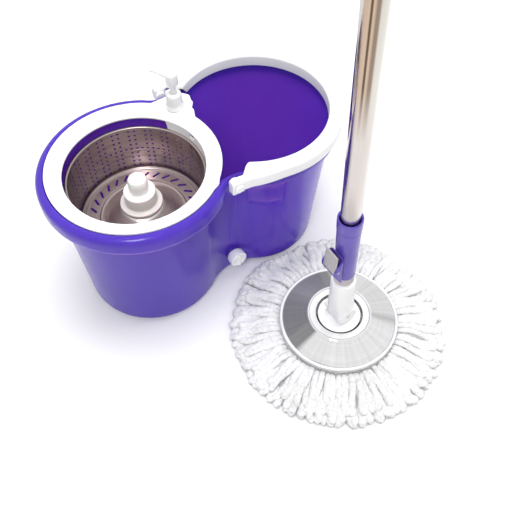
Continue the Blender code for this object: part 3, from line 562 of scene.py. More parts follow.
def outline(basket, tank, waist):
    """Points and outward normals round the bowls, from the back of the waist by way of the basket."""
    lean = (basket - tank) / (4 * BOWL_X)
    base = lean * (basket + tank) + BOWL_X
    b = 4 * lean * base + 2 * waist - 2 * basket
    c = base ** 2 + waist ** 2 - basket ** 2
    fillet = 2 * c / (sqrt(b ** 2 - 16 * lean ** 2 * c) - b)
    middle = base - BOWL_X + 2 * lean * fillet
    height = waist + fillet
    made = []
    for side, radius in ((-1, basket), (1, tank)):
        touch = atan2(height, BOWL_X - side * middle)
        for i in range(ARC_STEPS + 1):
            angle = touch + (2 * pi - 2 * touch) * i / ARC_STEPS
            normal = (-side * cos(angle), -side * sin(angle))
            made.append((side * BOWL_X + radius * normal[0], radius * normal[1], *normal))
        leave = -atan2(BOWL_X - side * middle, height)
        arrive = atan2(BOWL_X + side * middle, height)
        for i in range(1, WAIST_STEPS):
            angle = leave + (arrive - leave) * i / WAIST_STEPS
            x = middle - side * fillet * sin(angle)
            y = side * (height - fillet * cos(angle))
            made.append((x, y, (middle - x) / fillet, (side * height - y) / fillet))
    return made


WALL = 0.003
WALL_TOP_Z = 0.225
LIP_BOTTOM_Z = 0.2140
FILLET = 0.014
RECESS_DEPTH = 0.0030
RIB_OUT = 0.0009


def wall_at(height):
    t = min(height / WALL_TOP_Z, 1.0)
    return 0.1010 + 0.0125 * t, 0.0930 + 0.0205 * t, 0.068 + 0.0185 * t


def relief(x, y, z):
    """How far the outer wall stands in or out: finger recess, waist rib and the two faint upright lines."""
    if y > 0:
        return 0.0
    turn = degrees(atan2(y, x - BOWL_X))
    wide = smoothstep(-128.9, -126.7, turn) * (1 - smoothstep(-101.8, -99.6, turn))
    floor_z = 0.1600 - 0.00035 * (turn + 115) + 0.010 * (abs(turn + 114.5) / 14) ** 6
    tall = smoothstep(floor_z - 0.002, floor_z + 0.002, z) * (1 - smoothstep(0.1990, 0.2060, z))
    made = -RECESS_DEPTH * wide * tall
    rib = smoothstep(0.0012, 0.0028, x) * (1 - smoothstep(0.0098, 0.0114, x))
    made += RIB_OUT * rib * smoothstep(0.066, 0.072, z) * (1 - smoothstep(0.203, 0.209, z))
    line = max(0.0, 1 - abs(turn + 108.0) / 1.6) * (1 if x > BOWL_X * 0.4 else 0)
    made -= 0.0007 * line * smoothstep(0.060, 0.070, z) * (1 - smoothstep(0.140, 0.148, z))
    edge = max(0.0, 1 - abs(x + 0.0440) / 0.0022)
    made += 0.0006 * edge * smoothstep(0.050, 0.070, z) * (1 - smoothstep(0.195, 0.209, z))
    return made


def wall_ring(offset, height, carve=False):
    ring = []
    for x, y, nx, ny in outline(*wall_at(height)):
        out = offset + (relief(x, y, height) if carve else min(relief(x, y, height), 0.0))
        ring.append((x + nx * out, y + ny * out, height))
    return ring


TOP_OUTLINE = outline(*wall_at(WALL_TOP_Z))


def lip_ring(reach, inset, height, raised):
    ring = []
    for x, y, nx, ny in TOP_OUTLINE:
        lip = 0.0165 - 0.0080 * smoothstep(-0.035, 0.0, x)
        offset = reach * lip - inset
        lift = raised * 0.0040 * smoothstep(0.038, 0.068, x)
        ring.append((x + nx * offset, y + ny * offset, height + lift))
    return ring


def bucket():
    rings = []
    for i in range(9):
        angle = radians(90 * i / 8)
        rings.append(wall_ring(-FILLET * (1 - sin(angle)), FILLET * (1 - cos(angle))))
    levels = 90
    for i in range(1, levels + 1):
        rings.append(wall_ring(0.0, FILLET + (LIP_BOTTOM_Z - FILLET) * i / levels, carve=True))
    lip = [(0.0, 0.0, 0.2150, 0.0), (0.0, -0.0004, 0.2285, 0.0), (0.05, 0.0, 0.2295, 0.1),
           (0.95, 0.0032, 0.2290, 0.5), (1.0, 0.0030, 0.2275, 0.5), (1.0, 0.0030, 0.2150, 0.0),
           (1.0, 0.0026, 0.2142, 0.0), (1.0, 0.0012, LIP_BOTTOM_Z, 0.0), (1.0, 0.0003, 0.2144, 0.0),
           (1.0, -0.0001, 0.2155, 0.1), (1.0, -0.0002, 0.2200, 0.3), (1.0, -0.0002, 0.2255, 0.5),
           (1.0, 0.0, 0.2290, 0.6), (1.0, 0.0006, 0.2320, 0.8), (1.0, 0.0016, 0.2345, 1.0),
           (1.0, 0.0030, 0.2364, 1.0), (1.0, 0.0050, 0.2378, 1.0), (0.6, 0.0000, 0.2387, 1.0),
           (0.4, -0.0020, 0.2390, 1.0), (0.1, -0.0044, 0.2390, 1.0), (0.0, -0.0056, 0.2388, 1.0),
           (0.0, -0.0053, 0.2382, 0.9), (0.0, -0.0050, 0.2372, 0.0), (0.0, -0.0040, 0.2364, 0.0),
           (0.0, 0.0018, 0.2344, 0.0), (0.0, 0.0027, 0.2338, 0.0), (0.0, 0.0030, 0.2326, 0.0)]
    rings += [lip_ring(*level) for level in lip]
    for height in (0.21, 0.18, 0.15, 0.12, 0.09, 0.06, 0.03):
        rings.append(wall_ring(-WALL, height))
    inner = FILLET - WALL
    for i in range(6, -1, -1):
        angle = radians(90 * i / 6)
        rings.append(wall_ring(-WALL - inner * (1 - sin(angle)), WALL + inner * (1 - cos(angle))))
    mesh = grid_mesh("bucket", rings, caps=True)
    boss = lathe_mesh("boss", [(0.0, 0.0770), (0.0120, BOSS_OUT), (0.0124, 0.0700), (0.0, 0.0700)],
                      closed=False, soft=0.0008, sides=48)
    boss.transform(DRAIN)
    mesh = carved(mesh, [boss], "UNION")
    hole = cylinder("hole", 0.0086, (0.0075, -0.05, 0.0475), (0.0075, -0.08, 0.0475), 48)
    mesh = carved(mesh, [hole])
    keep("bucket", mesh, shell_look, "bucket", ["bucket_shell"], sharp=32)


bucket()


# ---------------------------------------------------------------- splash ring
RING_IN = 0.0955
RING_OUT = 0.1169
RING_IN_Z = 0.2325
RING_OUT_Z = 0.2400
RING_PLATE = 0.0025
SKIRT_OUT = 0.0982
SKIRT_BOTTOM_Z = 0.1900


def ring_reach(turn):
    """Outer radius of the ring at an angle in degrees, with its pump lug and corner tab."""
    lug = [(15, RING_OUT), (22.5, 0.1276), (26.5, 0.1400), (31, 0.1487), (38, 0.1470), (46, 0.1400),
           (52, 0.1290), (58, RING_OUT)]
    reach = RING_OUT
    for (a, low), (b, high) in zip(lug, lug[1:]):
        if a <= turn <= b:
            reach = low + (high - low) * smoothstep(a, b, turn)
    if turn > 0:
        reach = min(reach, 0.0903 / max(sin(radians(turn)), 0.3))
    tab = max(0.0, 1 - abs(turn + 51) / 5)
    return max(RING_OUT, reach) + 0.0004 + 0.0024 * tab


def splash_ring():
    slope = (RING_OUT_Z - RING_IN_Z) / (RING_OUT - RING_IN)
    root = RING_IN_Z + (SKIRT_OUT - RING_IN) * slope - RING_PLATE
    under = RING_OUT_Z - RING_PLATE
    rings = []
    for turn in [*range(181), *range(-179, 0)]:
        depth = smoothstep(35.3, 34.2, abs(turn))
        skirt = 0.2295 - (0.2295 - SKIRT_BOTTOM_Z) * depth
        reach = ring_reach(turn)
        section = [(RING_IN, 0.2318), (0.0958, RING_IN_Z), (0.0966, 0.2329), (RING_OUT, RING_OUT_Z),
                   (reach - 0.0008, RING_OUT_Z), (reach - 0.0002, 0.2398), (reach, 0.2392), (reach, under),
                   (RING_OUT, under), (0.0984, root), (SKIRT_OUT, root - 0.0004), (SKIRT_OUT, skirt),
                   (0.0978, skirt - 0.0003), (0.0966, skirt - 0.0003), (0.0962, skirt), (RING_IN, 0.2305)]
        a = radians(turn)
        rings.append([(r * cos(a), r * sin(a), z) for r, z in section])
    mesh = grid_mesh("ring", rings, closed_rows=True)
    centre = PUMP - BASKET
    well = lathe_mesh("well", [(0.0, 0.2388), (0.0142, 0.2388), (0.0148, 0.2420), (0.0, 0.2420)], closed=False,
                      soft=0.0003, sides=64)
    neck = cylinder("neck", 0.0106, (0, 0, 0.225), (0, 0, 0.25), 64)
    for tool in (well, neck):
        tool.transform(Matrix.Translation(centre))
    turn = Matrix.Rotation(radians(7.6), 4, "Z")
    window = bar("window", (0.090, -0.0052, 0.2225), (0.102, 0.0052, 0.2300), 0.0, turn)
    mesh = carved(mesh, [well, neck, window])
    keep("splash_ring_detail", mesh, white_look, "bucket", ["splash_ring"], BASKET)


splash_ring()


# ---------------------------------------------------------------- basket
DRUM_R = 0.0923


def drum():
    """A sheet drum with punched holes: pairs of columns, with one more hole between pairs in the middle row."""
    groups = 24
    first = 67.8
    half = 1.05            # half a hole's width, in degrees
    columns = []
    for i in range(groups):
        base = first + 360 / groups * i
        for centre, kind in ((-2.6, "pair"), (2.6, "pair"), (7.5, "single")):
            columns.append((base + centre - half, base + centre + half, kind))
    turns = []
    kinds = []
    for i, (low, high, kind) in enumerate(columns):
        gap = columns[(i + 1) % len(columns)][0] + (360 if i + 1 == len(columns) else 0) - high
        turns += [low, high, high + gap / 3, high + gap * 2 / 3]
        kinds += [kind, None, None, None]
    heights = []
    for i in range(9):
        middle = 0.1440 + 0.0083 * i
        heights += [middle - 0.0015, middle + 0.0015]
    below = [(0.0870, 0.1364), (0.0885, 0.1366), (0.0898, 0.1372), (0.0908, 0.1385), (0.0911, 0.1400)]
    start = len(below)
    wall = [(0.0911 + (DRUM_R - 0.0911) * (z - 0.1400) / 0.072, z) for z in heights]
    roll = [(DRUM_R + 0.0001 + 0.0023 - 0.0023 * cos(radians(a)), 0.2145 + 0.0023 * sin(radians(a)))
            for a in range(0, 271, 30)]
    profile = below + wall + [(DRUM_R - 0.0001, 0.2122)] + roll
    verts = []
    faces = []
    count = len(turns)
    for r, z in profile:
        for turn in turns:
            a = radians(turn)
            verts.append(((r - 0.0006) * cos(a), (r - 0.0006) * sin(a), z))
    for i in range(len(profile) - 1):
        row = (i - start) // 2 if start <= i < start + len(heights) and (i - start) % 2 == 0 else None
        for j in range(count):
            k = (j + 1) % count
            if row is not None and (kinds[j] == "pair" or kinds[j] == "single" and row == 4):
                continue
            faces.append((i * count + j, i * count + k, (i + 1) * count + k, (i + 1) * count + j))
    body = bpy.data.objects.new("drum_sheet", mesh_from("drum", verts, faces))
    scene.collection.objects.link(body)
    thick = body.modifiers.new("sheet", "SOLIDIFY")
    thick.thickness = 0.0008
    thick.offset = 0.0
    made = applied(body)
    bpy.data.objects.remove(body)
    keep("basket_drum_detail", made, drum_look, "basket", ["basket_drum"], BASKET, sharp=50)


drum()


def basket_floor():
    z = 0.1385
    top = [(0.0126, 0.1590), (0.0290, 0.1590), (0.0305, 0.1582), (0.0330, 0.1562), (0.0535, 0.1362),
           (0.0560, 0.1345), (0.0600, 0.1345), (0.0622, 0.1352), (0.0636, z), (0.0822, z),
           (0.0832, z + 0.0020), (0.0845, z + 0.0029), (0.0858, z + 0.0020), (0.0866, z)]
    under = [(0.0866, z - 0.0012), (0.0855, z - 0.0004), (0.0845, z + 0.0017), (0.0836, z - 0.0004),
             (0.0828, z - 0.0012), (0.0640, z - 0.0012), (0.0604, z - 0.0052), (0.0554, z - 0.0052),
             (0.0297, 0.1571), (0.0287, 0.1578), (0.0126, 0.1578)]
    mesh = lathe_mesh("floor", top + under, soft=0.0007, sides=144)
    tools = []
    for i in range(30):
        spot = Matrix.Rotation(2 * pi * i / 30, 4, "Z") @ Matrix.Translation((0.0730, 0, z))
        spot = spot @ Matrix.Rotation(radians(-40), 4, "Z")
        tools.append(bar("slot", (-0.00625, -0.0017, -0.004), (0.00625, 0.0017, 0.004), 0.0, spot))
    mesh = carved(mesh, [together("slots", tools)])
    keep("basket_floor_detail", mesh, floor_look, "basket", ["basket_floor"], BASKET, sharp=30)


basket_floor()


def hub():
    profile = [(0.0, 0.1880), (0.0160, 0.1880), (0.0205, 0.1878), (0.0225, 0.1860), (0.0228, 0.1668),
               (0.0290, 0.1655), (0.0300, 0.1645), (0.0300, 0.1593), (0.0123, 0.1593), (0.0123, 0.1480),
               (0.0072, 0.1480), (0.0072, 0.1830), (0.0, 0.1830)]
    cup = lathe_mesh("cup", profile, closed=False, soft=0.0012, sides=96)
    rings = []
    levels = [(0.0143, 0.1870), (0.0140, 0.1990), (0.0136, 0.2070), (0.0118, 0.2105), (0.0090, 0.2120)]
    for r, z in levels:
        ring = []
        for i in range(8):
            for side in (-0.16, 0.16):
                a = 2 * pi * (i + 0.5) / 8 + side * pi / 4
                ring.append((r * cos(a), r * sin(a), z))
        rings.append(ring)
    knob = grid_mesh("knob", rings, caps=True)
    mesh = carved(cup, [knob], "UNION")
    keep("basket_hub_detail", mesh, hub_look, "basket", ["basket_hub"], BASKET, sharp=28)


hub()


# ---------------------------------------------------------------- soap pump
def pump():
    levels = [(0.0048, 0.2520, 0), (0.0104, 0.2520, 0), (0.0104, 0.2391, 0), (0.0130, 0.2391, 0),
              (0.0133, 0.2394, 0), (0.0132, 0.2402, 0), (0.0117, 0.2435, 0), (0.0112, 0.2450, 0.2),
              (0.0111, 0.2470, 1), (0.0108, 0.2590, 1), (0.0105, 0.2612, 0.3), (0.0098, 0.2628, 0),
              (0.0086, 0.2638, 0), (0.0060, 0.2640, 0), (0.0048, 0.2638, 0)]
    mesh = ridged("closure", levels, 144, 6)
    keep("pump_closure_detail", mesh, cap_look, "bucket", ["pump_closure"], PUMP, sharp=50)
    profile = [(0.0, 0.2990), (0.0040, 0.2989), (0.0068, 0.2980), (0.0084, 0.2958), (0.0088, 0.2790),
               (0.0044, 0.2790), (0.0044, 0.2863), (0.0, 0.2863)]
    head = lathe_mesh("head", profile, closed=False, soft=0.0010, sides=64)
    way = Vector((-0.62, 0.785, 0.0)).normalized()
    stations = [(0.0030, 0.2915, 0.0050), (0.0120, 0.2935, 0.0048), (0.0220, 0.2953, 0.0041),
                (0.0300, 0.2958, 0.0036), (0.0318, 0.2952, 0.0034)]
    across = Vector((-way.y, way.x, 0.0))
    rings = []
    for out, z, r in stations:
        ring = []
        for i in range(24):
            a = 2 * pi * i / 24
            p = way * out + across * (r * cos(a)) + Vector((0, 0, z + r * 0.92 * sin(a)))
            ring.append(tuple(p))
        rings.append(ring)
    spout = grid_mesh("spout", rings, caps=True)
    mesh = carved(head, [spout], "UNION")
    tip = way * 0.0318
    level = Vector((0.0, 0.0, 0.2952))
    bore = cylinder("bore", 0.0018, tip * 0.85 + level, tip * 1.1 + level, 16)
    mesh = carved(mesh, [bore])
    keep("pump_head_detail", mesh, cap_look, "pump_nozzle", ["pump_head"], PUMP, sharp=35)


pump()


# ---------------------------------------------------------------- drain plug
def drain_plug():
    cap = BOSS_OUT + 0.0003 + 0.0008 + 0.0018 + 0.0003    # the bush's flange, the washer and their gaps
    end = cap + 0.0120
    profile = [(0.0, end - 0.0010), (0.0098, end - 0.0010), (0.0106, end - 0.0002), (0.0112, end),
               (0.0127, end), (0.0135, end - 0.0008), (0.0135, cap), (0.0052, cap), (0.0052, 0.0720),
               (0.0040, 0.0718), (0.0040, 0.0692), (0.0052, 0.0690), (0.0052, 0.0650), (0.0, 0.0640)]
    mesh = lathe_mesh("plug", profile, closed=False, soft=0.0009, sides=72)
    rib = bar("rib", (-0.0016, -0.0108, end - 0.0020), (0.0016, 0.0108, end + 0.0029), 0.0007)
    mesh = carved(mesh, [rib], "UNION")
    mesh.transform(DRAIN)
    keep("drain_plug_detail", mesh, cap_look, "plug", ["drain_plug"], sharp=35)


drain_plug()


# ---------------------------------------------------------------- handle
TOP_WAIST = 0.0865
PIVOT_Z = 0.2370
HANDLE_IN = -0.0065        # from the wall line under the rim, inwards is negative
HANDLE_OUT = 0.0140
HANDLE_TOP_Z = 0.2485
HANDLE_UNDER_Z = 0.2450
HANDLE_SKIRT_Z = 0.2310
HANDLE_SKIN = 0.0026
EAR_IN = 0.0140
EAR_OUT = 0.0255
EAR_BOTTOM_Z = 0.2285


def handle():
    walk = [p for p in TOP_OUTLINE if p[0] > 0.0005]
    start = next(i for i, p in enumerate(TOP_OUTLINE) if p[0] > 0.0005 and TOP_OUTLINE[i - 1][0] <= 0.0005)
    path = [TOP_OUTLINE[(start + i) % len(TOP_OUTLINE)] for i in range(len(walk))]
    front = [(x, -TOP_WAIST, 0.0, -1.0) for x in (-0.0090, -0.0086, -0.0075, -0.0050, -0.0025)]
    back = [(x, TOP_WAIST, 0.0, 1.0) for x in (-0.0025, -0.0045, -0.0053, -0.0059, -0.0062)]
    top = HANDLE_TOP_Z
    rings = []
    for x, y, nx, ny in front + path + back:
        hollow = smoothstep(0.0105, 0.0140, x)
        under = EAR_BOTTOM_Z + (HANDLE_UNDER_Z - EAR_BOTTOM_Z) * hollow
        low_out = EAR_BOTTOM_Z + (HANDLE_SKIRT_Z - EAR_BOTTOM_Z) * hollow - 0.0003
        deep = smoothstep(0.055, 0.066, x) if y < 0 else smoothstep(0.026, 0.037, x)
        low_in = under - 0.0003 - (under - HANDLE_SKIRT_Z) * deep * hollow
        end = -0.0090 if y < 0 else -0.0062
        shrink = 0.0012 * (1 - smoothstep(end, end + 0.0015, x))
        inner = EAR_IN + (HANDLE_IN - EAR_IN) * smoothstep(0.0140, 0.0290, x) + shrink
        outer = EAR_OUT + (HANDLE_OUT - EAR_OUT) * smoothstep(0.0120, 0.0750, x) - shrink
        crown = top - shrink * 0.6
        wall_in = inner + HANDLE_SKIN
        wall_out = outer - HANDLE_SKIN
        section = [(inner, low_in), (inner, top - 0.0040), (inner + 0.0004, top - 0.0022),
                   (inner + 0.0014, top - 0.0008), (inner + 0.0034, crown), ((inner + outer) / 2, crown),
                   (outer - 0.0034, crown), (outer - 0.0014, top - 0.0008), (outer - 0.0004, top - 0.0022),
                   (outer, top - 0.0040), (outer, low_out + 0.0003), (outer - 0.0005, low_out),
                   (wall_out + 0.0004, low_out), (wall_out, low_out + 0.0003), (wall_out, under),
                   (wall_in, under), (wall_in, low_in + 0.0002), (wall_in - 0.0004, low_in)]
        rings.append([(x + nx * d, y + ny * d, z) for d, z in section])
    mesh = grid_mesh("handle", rings, caps=True)
    hole = cylinder("hole", 0.0044, (0, -0.15, PIVOT_Z), (0, 0.15, PIVOT_Z), 48)
    mesh = carved(mesh, [hole])
    keep("carry_handle_detail", mesh, white_look, "handle", ["carry_handle"], sharp=35)
    for name, side in (("handle_pin_front", -1), ("handle_pin_back", 1)):
        head = TOP_WAIST + EAR_OUT + 0.0012
        profile = [(0.0, head + 0.0020), (0.0050, head + 0.0020), (0.0064, head + 0.0010), (0.0064, head),
                   (0.0040, head), (0.0040, 0.1002), (0.0070, 0.1002), (0.0070, 0.0970), (0.0, 0.0970)]
        mesh = lathe_mesh(name, profile, closed=False, soft=0.0008, sides=48)
        slot_tool = bar("slot", (-0.0040, -0.0006, head + 0.0012), (0.0040, 0.0006, head + 0.0030))
        mesh = carved(mesh, [slot_tool])
        mesh.transform(Matrix.Translation((0, 0, PIVOT_Z)) @ Matrix.Rotation(radians(-90 * side), 4, "X"))
        keep(name + "_detail", mesh, cap_look, "bucket", [name])


handle()


# ---------------------------------------------------------------- mop head
def mop_cover():
    cover = [(0.0334, 0.0394), (0.0338, 0.0404), (0.0346, 0.0407), (0.0436, 0.0407), (0.0444, 0.0412),
             (0.0450, 0.0419), (0.0456, 0.0421), (0.0462, 0.0419), (0.0470, 0.0410), (0.0482, 0.0405),
             (0.0600, 0.0366), (0.0720, 0.0325), (0.0815, 0.0288), (0.0826, 0.0289), (0.0836, 0.0297),
             (0.0848, 0.0302), (0.0860, 0.0300), (0.0870, 0.0290), (0.0876, 0.0272), (0.0877, 0.0238),
             (0.0873, 0.0236), (0.0867, 0.0238), (0.0865, 0.0262), (0.0852, 0.0288), (0.0840, 0.0286),
             (0.0824, 0.0274), (0.0466, 0.0396), (0.0346, 0.0395)]
    lathe("disc_cover_detail", cover, disc_look, "mop_disc", ["disc_cover"], MOP, soft=0.0003,
          sides=180, steps=2, sharp=50)
    core = [(0.0, 0.0392), (0.0150, 0.0392), (0.0296, 0.0392), (0.0311, 0.0388), (0.0316, 0.0375),
            (0.0316, 0.0225), (0.0835, 0.0225), (0.0835, 0.0180), (0.0, 0.0180)]
    mesh = lathe_mesh("core", core, closed=False, soft=0.0006, sides=120)
    lug = cylinder("lug", 0.0125, (0, -0.0118, 0.0550), (0, 0.0118, 0.0550), 64)
    foot = bar("foot", (-0.0121, -0.0118, 0.0350), (0.0121, 0.0118, 0.0550))
    mesh = carved(mesh, [lug, foot], "UNION")
    bore = cylinder("bore", 0.0033, (0, -0.02, 0.0550), (0, 0.02, 0.0550), 32)
    mesh = carved(mesh, [bore])
    keep("disc_core_detail", mesh, cap_look, "mop_disc", ["disc_core"], MOP, sharp=30)
    # the groove's side wall takes the painted groove shade
    mesh.materials.append(groove_shade_look.made)
    for face in mesh.polygons:
        x, y, z = face.center
        if 0.0310 < hypot(x, y) < 0.0345 and z < 0.0387:
            face.material_index = 1


mop_cover()


def to_tank(turn):
    """Distance from the disc's centre to the tank's wall, or a large one where the wall isn't met."""
    dx = BOWL_X - MOP.x
    dy = -MOP.y
    along = dx * cos(turn) + dy * sin(turn)
    across = dy * cos(turn) - dx * sin(turn)
    wall = 0.0960
    return along - sqrt(wall ** 2 - across ** 2) if along > 0 and abs(across) < wall else 1.0


STATIONS = [i / 20 * 0.90 for i in range(21)] + [0.93, 0.955, 0.975, 0.99, 1.0]


def strand(rng, turn, root, reach, lift, width, floor):
    """One microfibre strand: a lumpy soft rope that runs outwards, sags and ends in a rounded loop."""
    sides = 10
    sway = rng.uniform(-0.05, 0.05)
    phase = rng.uniform(0, 2 * pi)
    curl = rng.uniform(0.0008, 0.0026)
    limit = to_tank(turn)
    end = min(reach, limit - 0.0035)
    pressed = max(0.0, reach - end)
    rings = []
    for t in STATIONS:
        r = root + (end - root) * t
        a = turn + sway * t * t + curl / 0.12 * sin(phase + 6 * t) * (0.3 + t)
        hump = lift * sin(min(t * 1.25, 1.0) * pi) * (1 - 0.35 * t)
        base = floor + (0.0135 - floor) * max(0.0, 1 - t * 2.2)
        z = base + hump + 0.0012 * sin(phase * 2 + 8 * t) * t
        z += pressed * 0.30 * smoothstep(0.65, 1.0, t)
        fat = width * (0.60 + 0.34 * smoothstep(0.0, 0.35, t) + 0.14 * smoothstep(0.6, 0.92, t))
        lump = 1 + 0.16 * noise.noise(Vector((turn * 40, t * 10, phase)))
        close = sqrt(max(0.0, 1 - ((t - 0.90) / 0.10) ** 2)) if t > 0.90 else 1.0
        size = max(fat * lump * max(close, 0.12), 0.0004)
        centre = Vector((r * cos(a), r * sin(a), max(z, size * 0.70 + 0.0003)))
        side = Vector((-sin(a), cos(a), 0.0))
        ring = []
        for k in range(sides):
            b = 2 * pi * k / sides
            knob = 1 + 0.24 * noise.noise(Vector((turn * 90 + cos(b), t * 24, sin(b) * 1.3 + phase)))
            p = centre + side * (size * knob * cos(b)) + Vector((0, 0, size * 0.70 * knob * sin(b)))
            # painted shade: darker on each strand's underside and at its root
            shade = 0.75 * smoothstep(0.25, -0.55, sin(b)) + 0.5 * smoothstep(0.16, 0.02, t)
            ring.append((p.x, p.y, max(p.z, 0.0003), min(shade, 1.0)))
        rings.append(ring)
    return rings


def strands():
    rng = random.Random(7)
    verts = []
    shades = []
    faces = []
    layers = [(84, 0.0800, 0.1622, 0.0035, 0.0064, 0.0044), (82, 0.0800, 0.1590, 0.0070, 0.0061, 0.0078),
              (74, 0.0790, 0.1500, 0.0100, 0.0056, 0.0108)]
    for count, root, reach, lift, width, floor in layers:
        for i in range(count):
            turn = 2 * pi * (i + rng.uniform(-0.25, 0.25)) / count
            rings = strand(rng, turn, root + rng.uniform(-0.002, 0.002), reach + rng.uniform(-0.0035, 0.0006),
                           lift * rng.uniform(0.75, 1.25), width * rng.uniform(0.88, 1.14), floor)
            rows, sides = len(rings), len(rings[0])
            faces += skin(rows, sides, len(verts)) + ends(rows, sides, len(verts))
            for ring in rings:
                verts += [p[:3] for p in ring]
                shades += [p[3] for p in ring]
    around = 120
    first = len(verts)
    for i in range(around):
        turn = 2 * pi * i / around
        reach = min(0.1500, to_tank(turn) - 0.010)
        section = [(0.0605, 0.0008), (0.0605, 0.0128), (0.0868, 0.0130), (0.0880, 0.0190), (0.1030, 0.0180),
                   (0.1280, 0.0120), (reach - 0.0080, 0.0070), (reach, 0.0030), (reach - 0.0040, 0.0008)]
        verts += [(r * cos(turn), r * sin(turn), z) for r, z in section]
        # painted shade on the mat under the strands
        shades += [0.9] * len(section)
    faces += skin(around, len(section), first, closed_rows=True)
    mesh = mesh_from("strands", verts, faces)
    mesh.attributes.new("hollow", "FLOAT", "POINT").data.foreach_set("value", shades)
    keep("mop_strands_detail", mesh, fibre_look, "mop_disc", ["mop_strands"], MOP, sharp=80)


strands()


# ---------------------------------------------------------------- pole
def section(half_x, half_y, height, power, sides=64):
    ring = []
    for i in range(sides):
        a = 2 * pi * i / sides
        c, n = cos(a), sin(a)
        x = half_x * abs(c) ** power * (1 if c > 0 else -1)
        y = half_y * abs(n) ** power * (1 if n > 0 else -1)
        ring.append((x, y, height))
    return ring


def stem():
    levels = [(0.0148, 0.0183, 0.0, 0.7), (0.0153, 0.0183, 0.0100, 0.72), (0.0158, 0.0182, 0.0200, 0.75),
              (0.0166, 0.0178, 0.0290, 0.85), (0.0172, 0.0175, 0.0360, 0.9), (0.0175, 0.0175, 0.0500, 1),
              (0.0173, 0.0173, 0.0680, 1), (0.0170, 0.0170, 0.0780, 1), (0.0167, 0.0167, 0.0803, 1),
              (0.0158, 0.0158, 0.0815, 1), (0.0118, 0.0118, 0.0820, 1), (0.0110, 0.0110, 0.0826, 1),
              (0.0110, 0.0110, 0.1120, 1)]
    mesh = grid_mesh("stem", [section(*level) for level in levels], caps=True)
    cheek = cylinder("cheek", 0.0150, (0, -0.0185, 0), (0, 0.0185, 0), 64)
    mesh = carved(mesh, [cheek], "UNION")
    slot_tool = bar("slot", (-0.03, -0.0122, -0.03), (0.03, 0.0122, 0.0165))
    pin = cylinder("pin", 0.0033, (0, -0.03, 0), (0, 0.03, 0), 32)
    socket = cylinder("socket", 0.0098, (0, 0, 0.0452), (0, 0, 0.12), 64)
    mesh = carved(mesh, [slot_tool, pin, socket])
    keep("yoke_stem_detail", mesh, cap_look, "pole_foot", ["yoke_stem"], YOKE, LEAN, sharp=32)


stem()


def collar():
    levels = [(0.0113, 0.0823, 0), (0.0130, 0.0823, 0), (0.0135, 0.0827, 0), (0.0138, 0.0840, 0.3),
              (0.0138, 0.0850, 1), (0.0138, 0.0965, 1), (0.0138, 0.0972, 0.3), (0.0135, 0.0980, 0),
              (0.0131, 0.0982, 0), (0.0113, 0.0982, 0)]
    mesh = ridged("collar", levels, 160, 4)
    keep("lock_collar_detail", mesh, grey_look, "pole_foot", ["lock_collar"], YOKE, LEAN, sharp=50)


collar()


def hulled(points, edge=0.0008):
    """A closed solid around the points, with its edges rounded."""
    bm = bmesh.new()
    for p in points:
        bm.verts.new(p)
    made = bmesh.ops.convex_hull(bm, input=bm.verts[:])
    loose = [v for v in made["geom_interior"] if isinstance(v, bmesh.types.BMVert)]
    bmesh.ops.delete(bm, geom=loose, context="VERTS")
    bmesh.ops.dissolve_limit(bm, angle_limit=radians(2), verts=bm.verts[:], edges=bm.edges[:])
    bmesh.ops.bevel(bm, geom=bm.edges[:], offset=edge, segments=3, affect="EDGES", profile=0.5)
    bmesh.ops.recalc_face_normals(bm, faces=bm.faces)
    mesh = bpy.data.meshes.new("hulled")
    bm.to_mesh(mesh)
    bm.free()
    return mesh


LEVER = (-0.0225, 0.1320)


def sleeve():
    profile = [(0.0136, 0.2170), (0.0155, 0.2170), (0.0160, 0.2164), (0.0160, 0.1996), (0.0157, 0.1990),
               (0.0150, 0.1988), (0.0150, 0.1976), (0.0154, 0.1970), (0.0148, 0.1500), (0.0144, 0.0985),
               (0.0113, 0.0985), (0.0113, 0.1165), (0.0136, 0.1175)]
    mesh = lathe_mesh("sleeve", profile, soft=0.0005, sides=96)
    rows = [(-0.0285, 0.1350, 0.0142), (-0.0285, 0.1270, 0.0142), (-0.0165, 0.1525, 0.0142),
            (-0.0165, 0.1015, 0.0142), (-0.0140, 0.1550, 0.0102), (-0.0140, 0.0995, 0.0102)]
    housing = hulled([(x, side * half, height) for x, height, half in rows for side in (-1, 1)])
    mesh = carved(mesh, [housing], "UNION")
    pocket = bar("pocket", (-0.04, -0.0118, LEVER[1] - 0.0074), (-0.0154, 0.0118, 0.17))
    pin = cylinder("pin", 0.0023, (LEVER[0], -0.03, LEVER[1]), (LEVER[0], 0.03, LEVER[1]), 24)
    mesh = carved(mesh, [pocket, pin])
    keep("lock_sleeve_detail", mesh, sleeve_look, "pole_foot", ["lock_sleeve"], YOKE, LEAN, sharp=32)


sleeve()


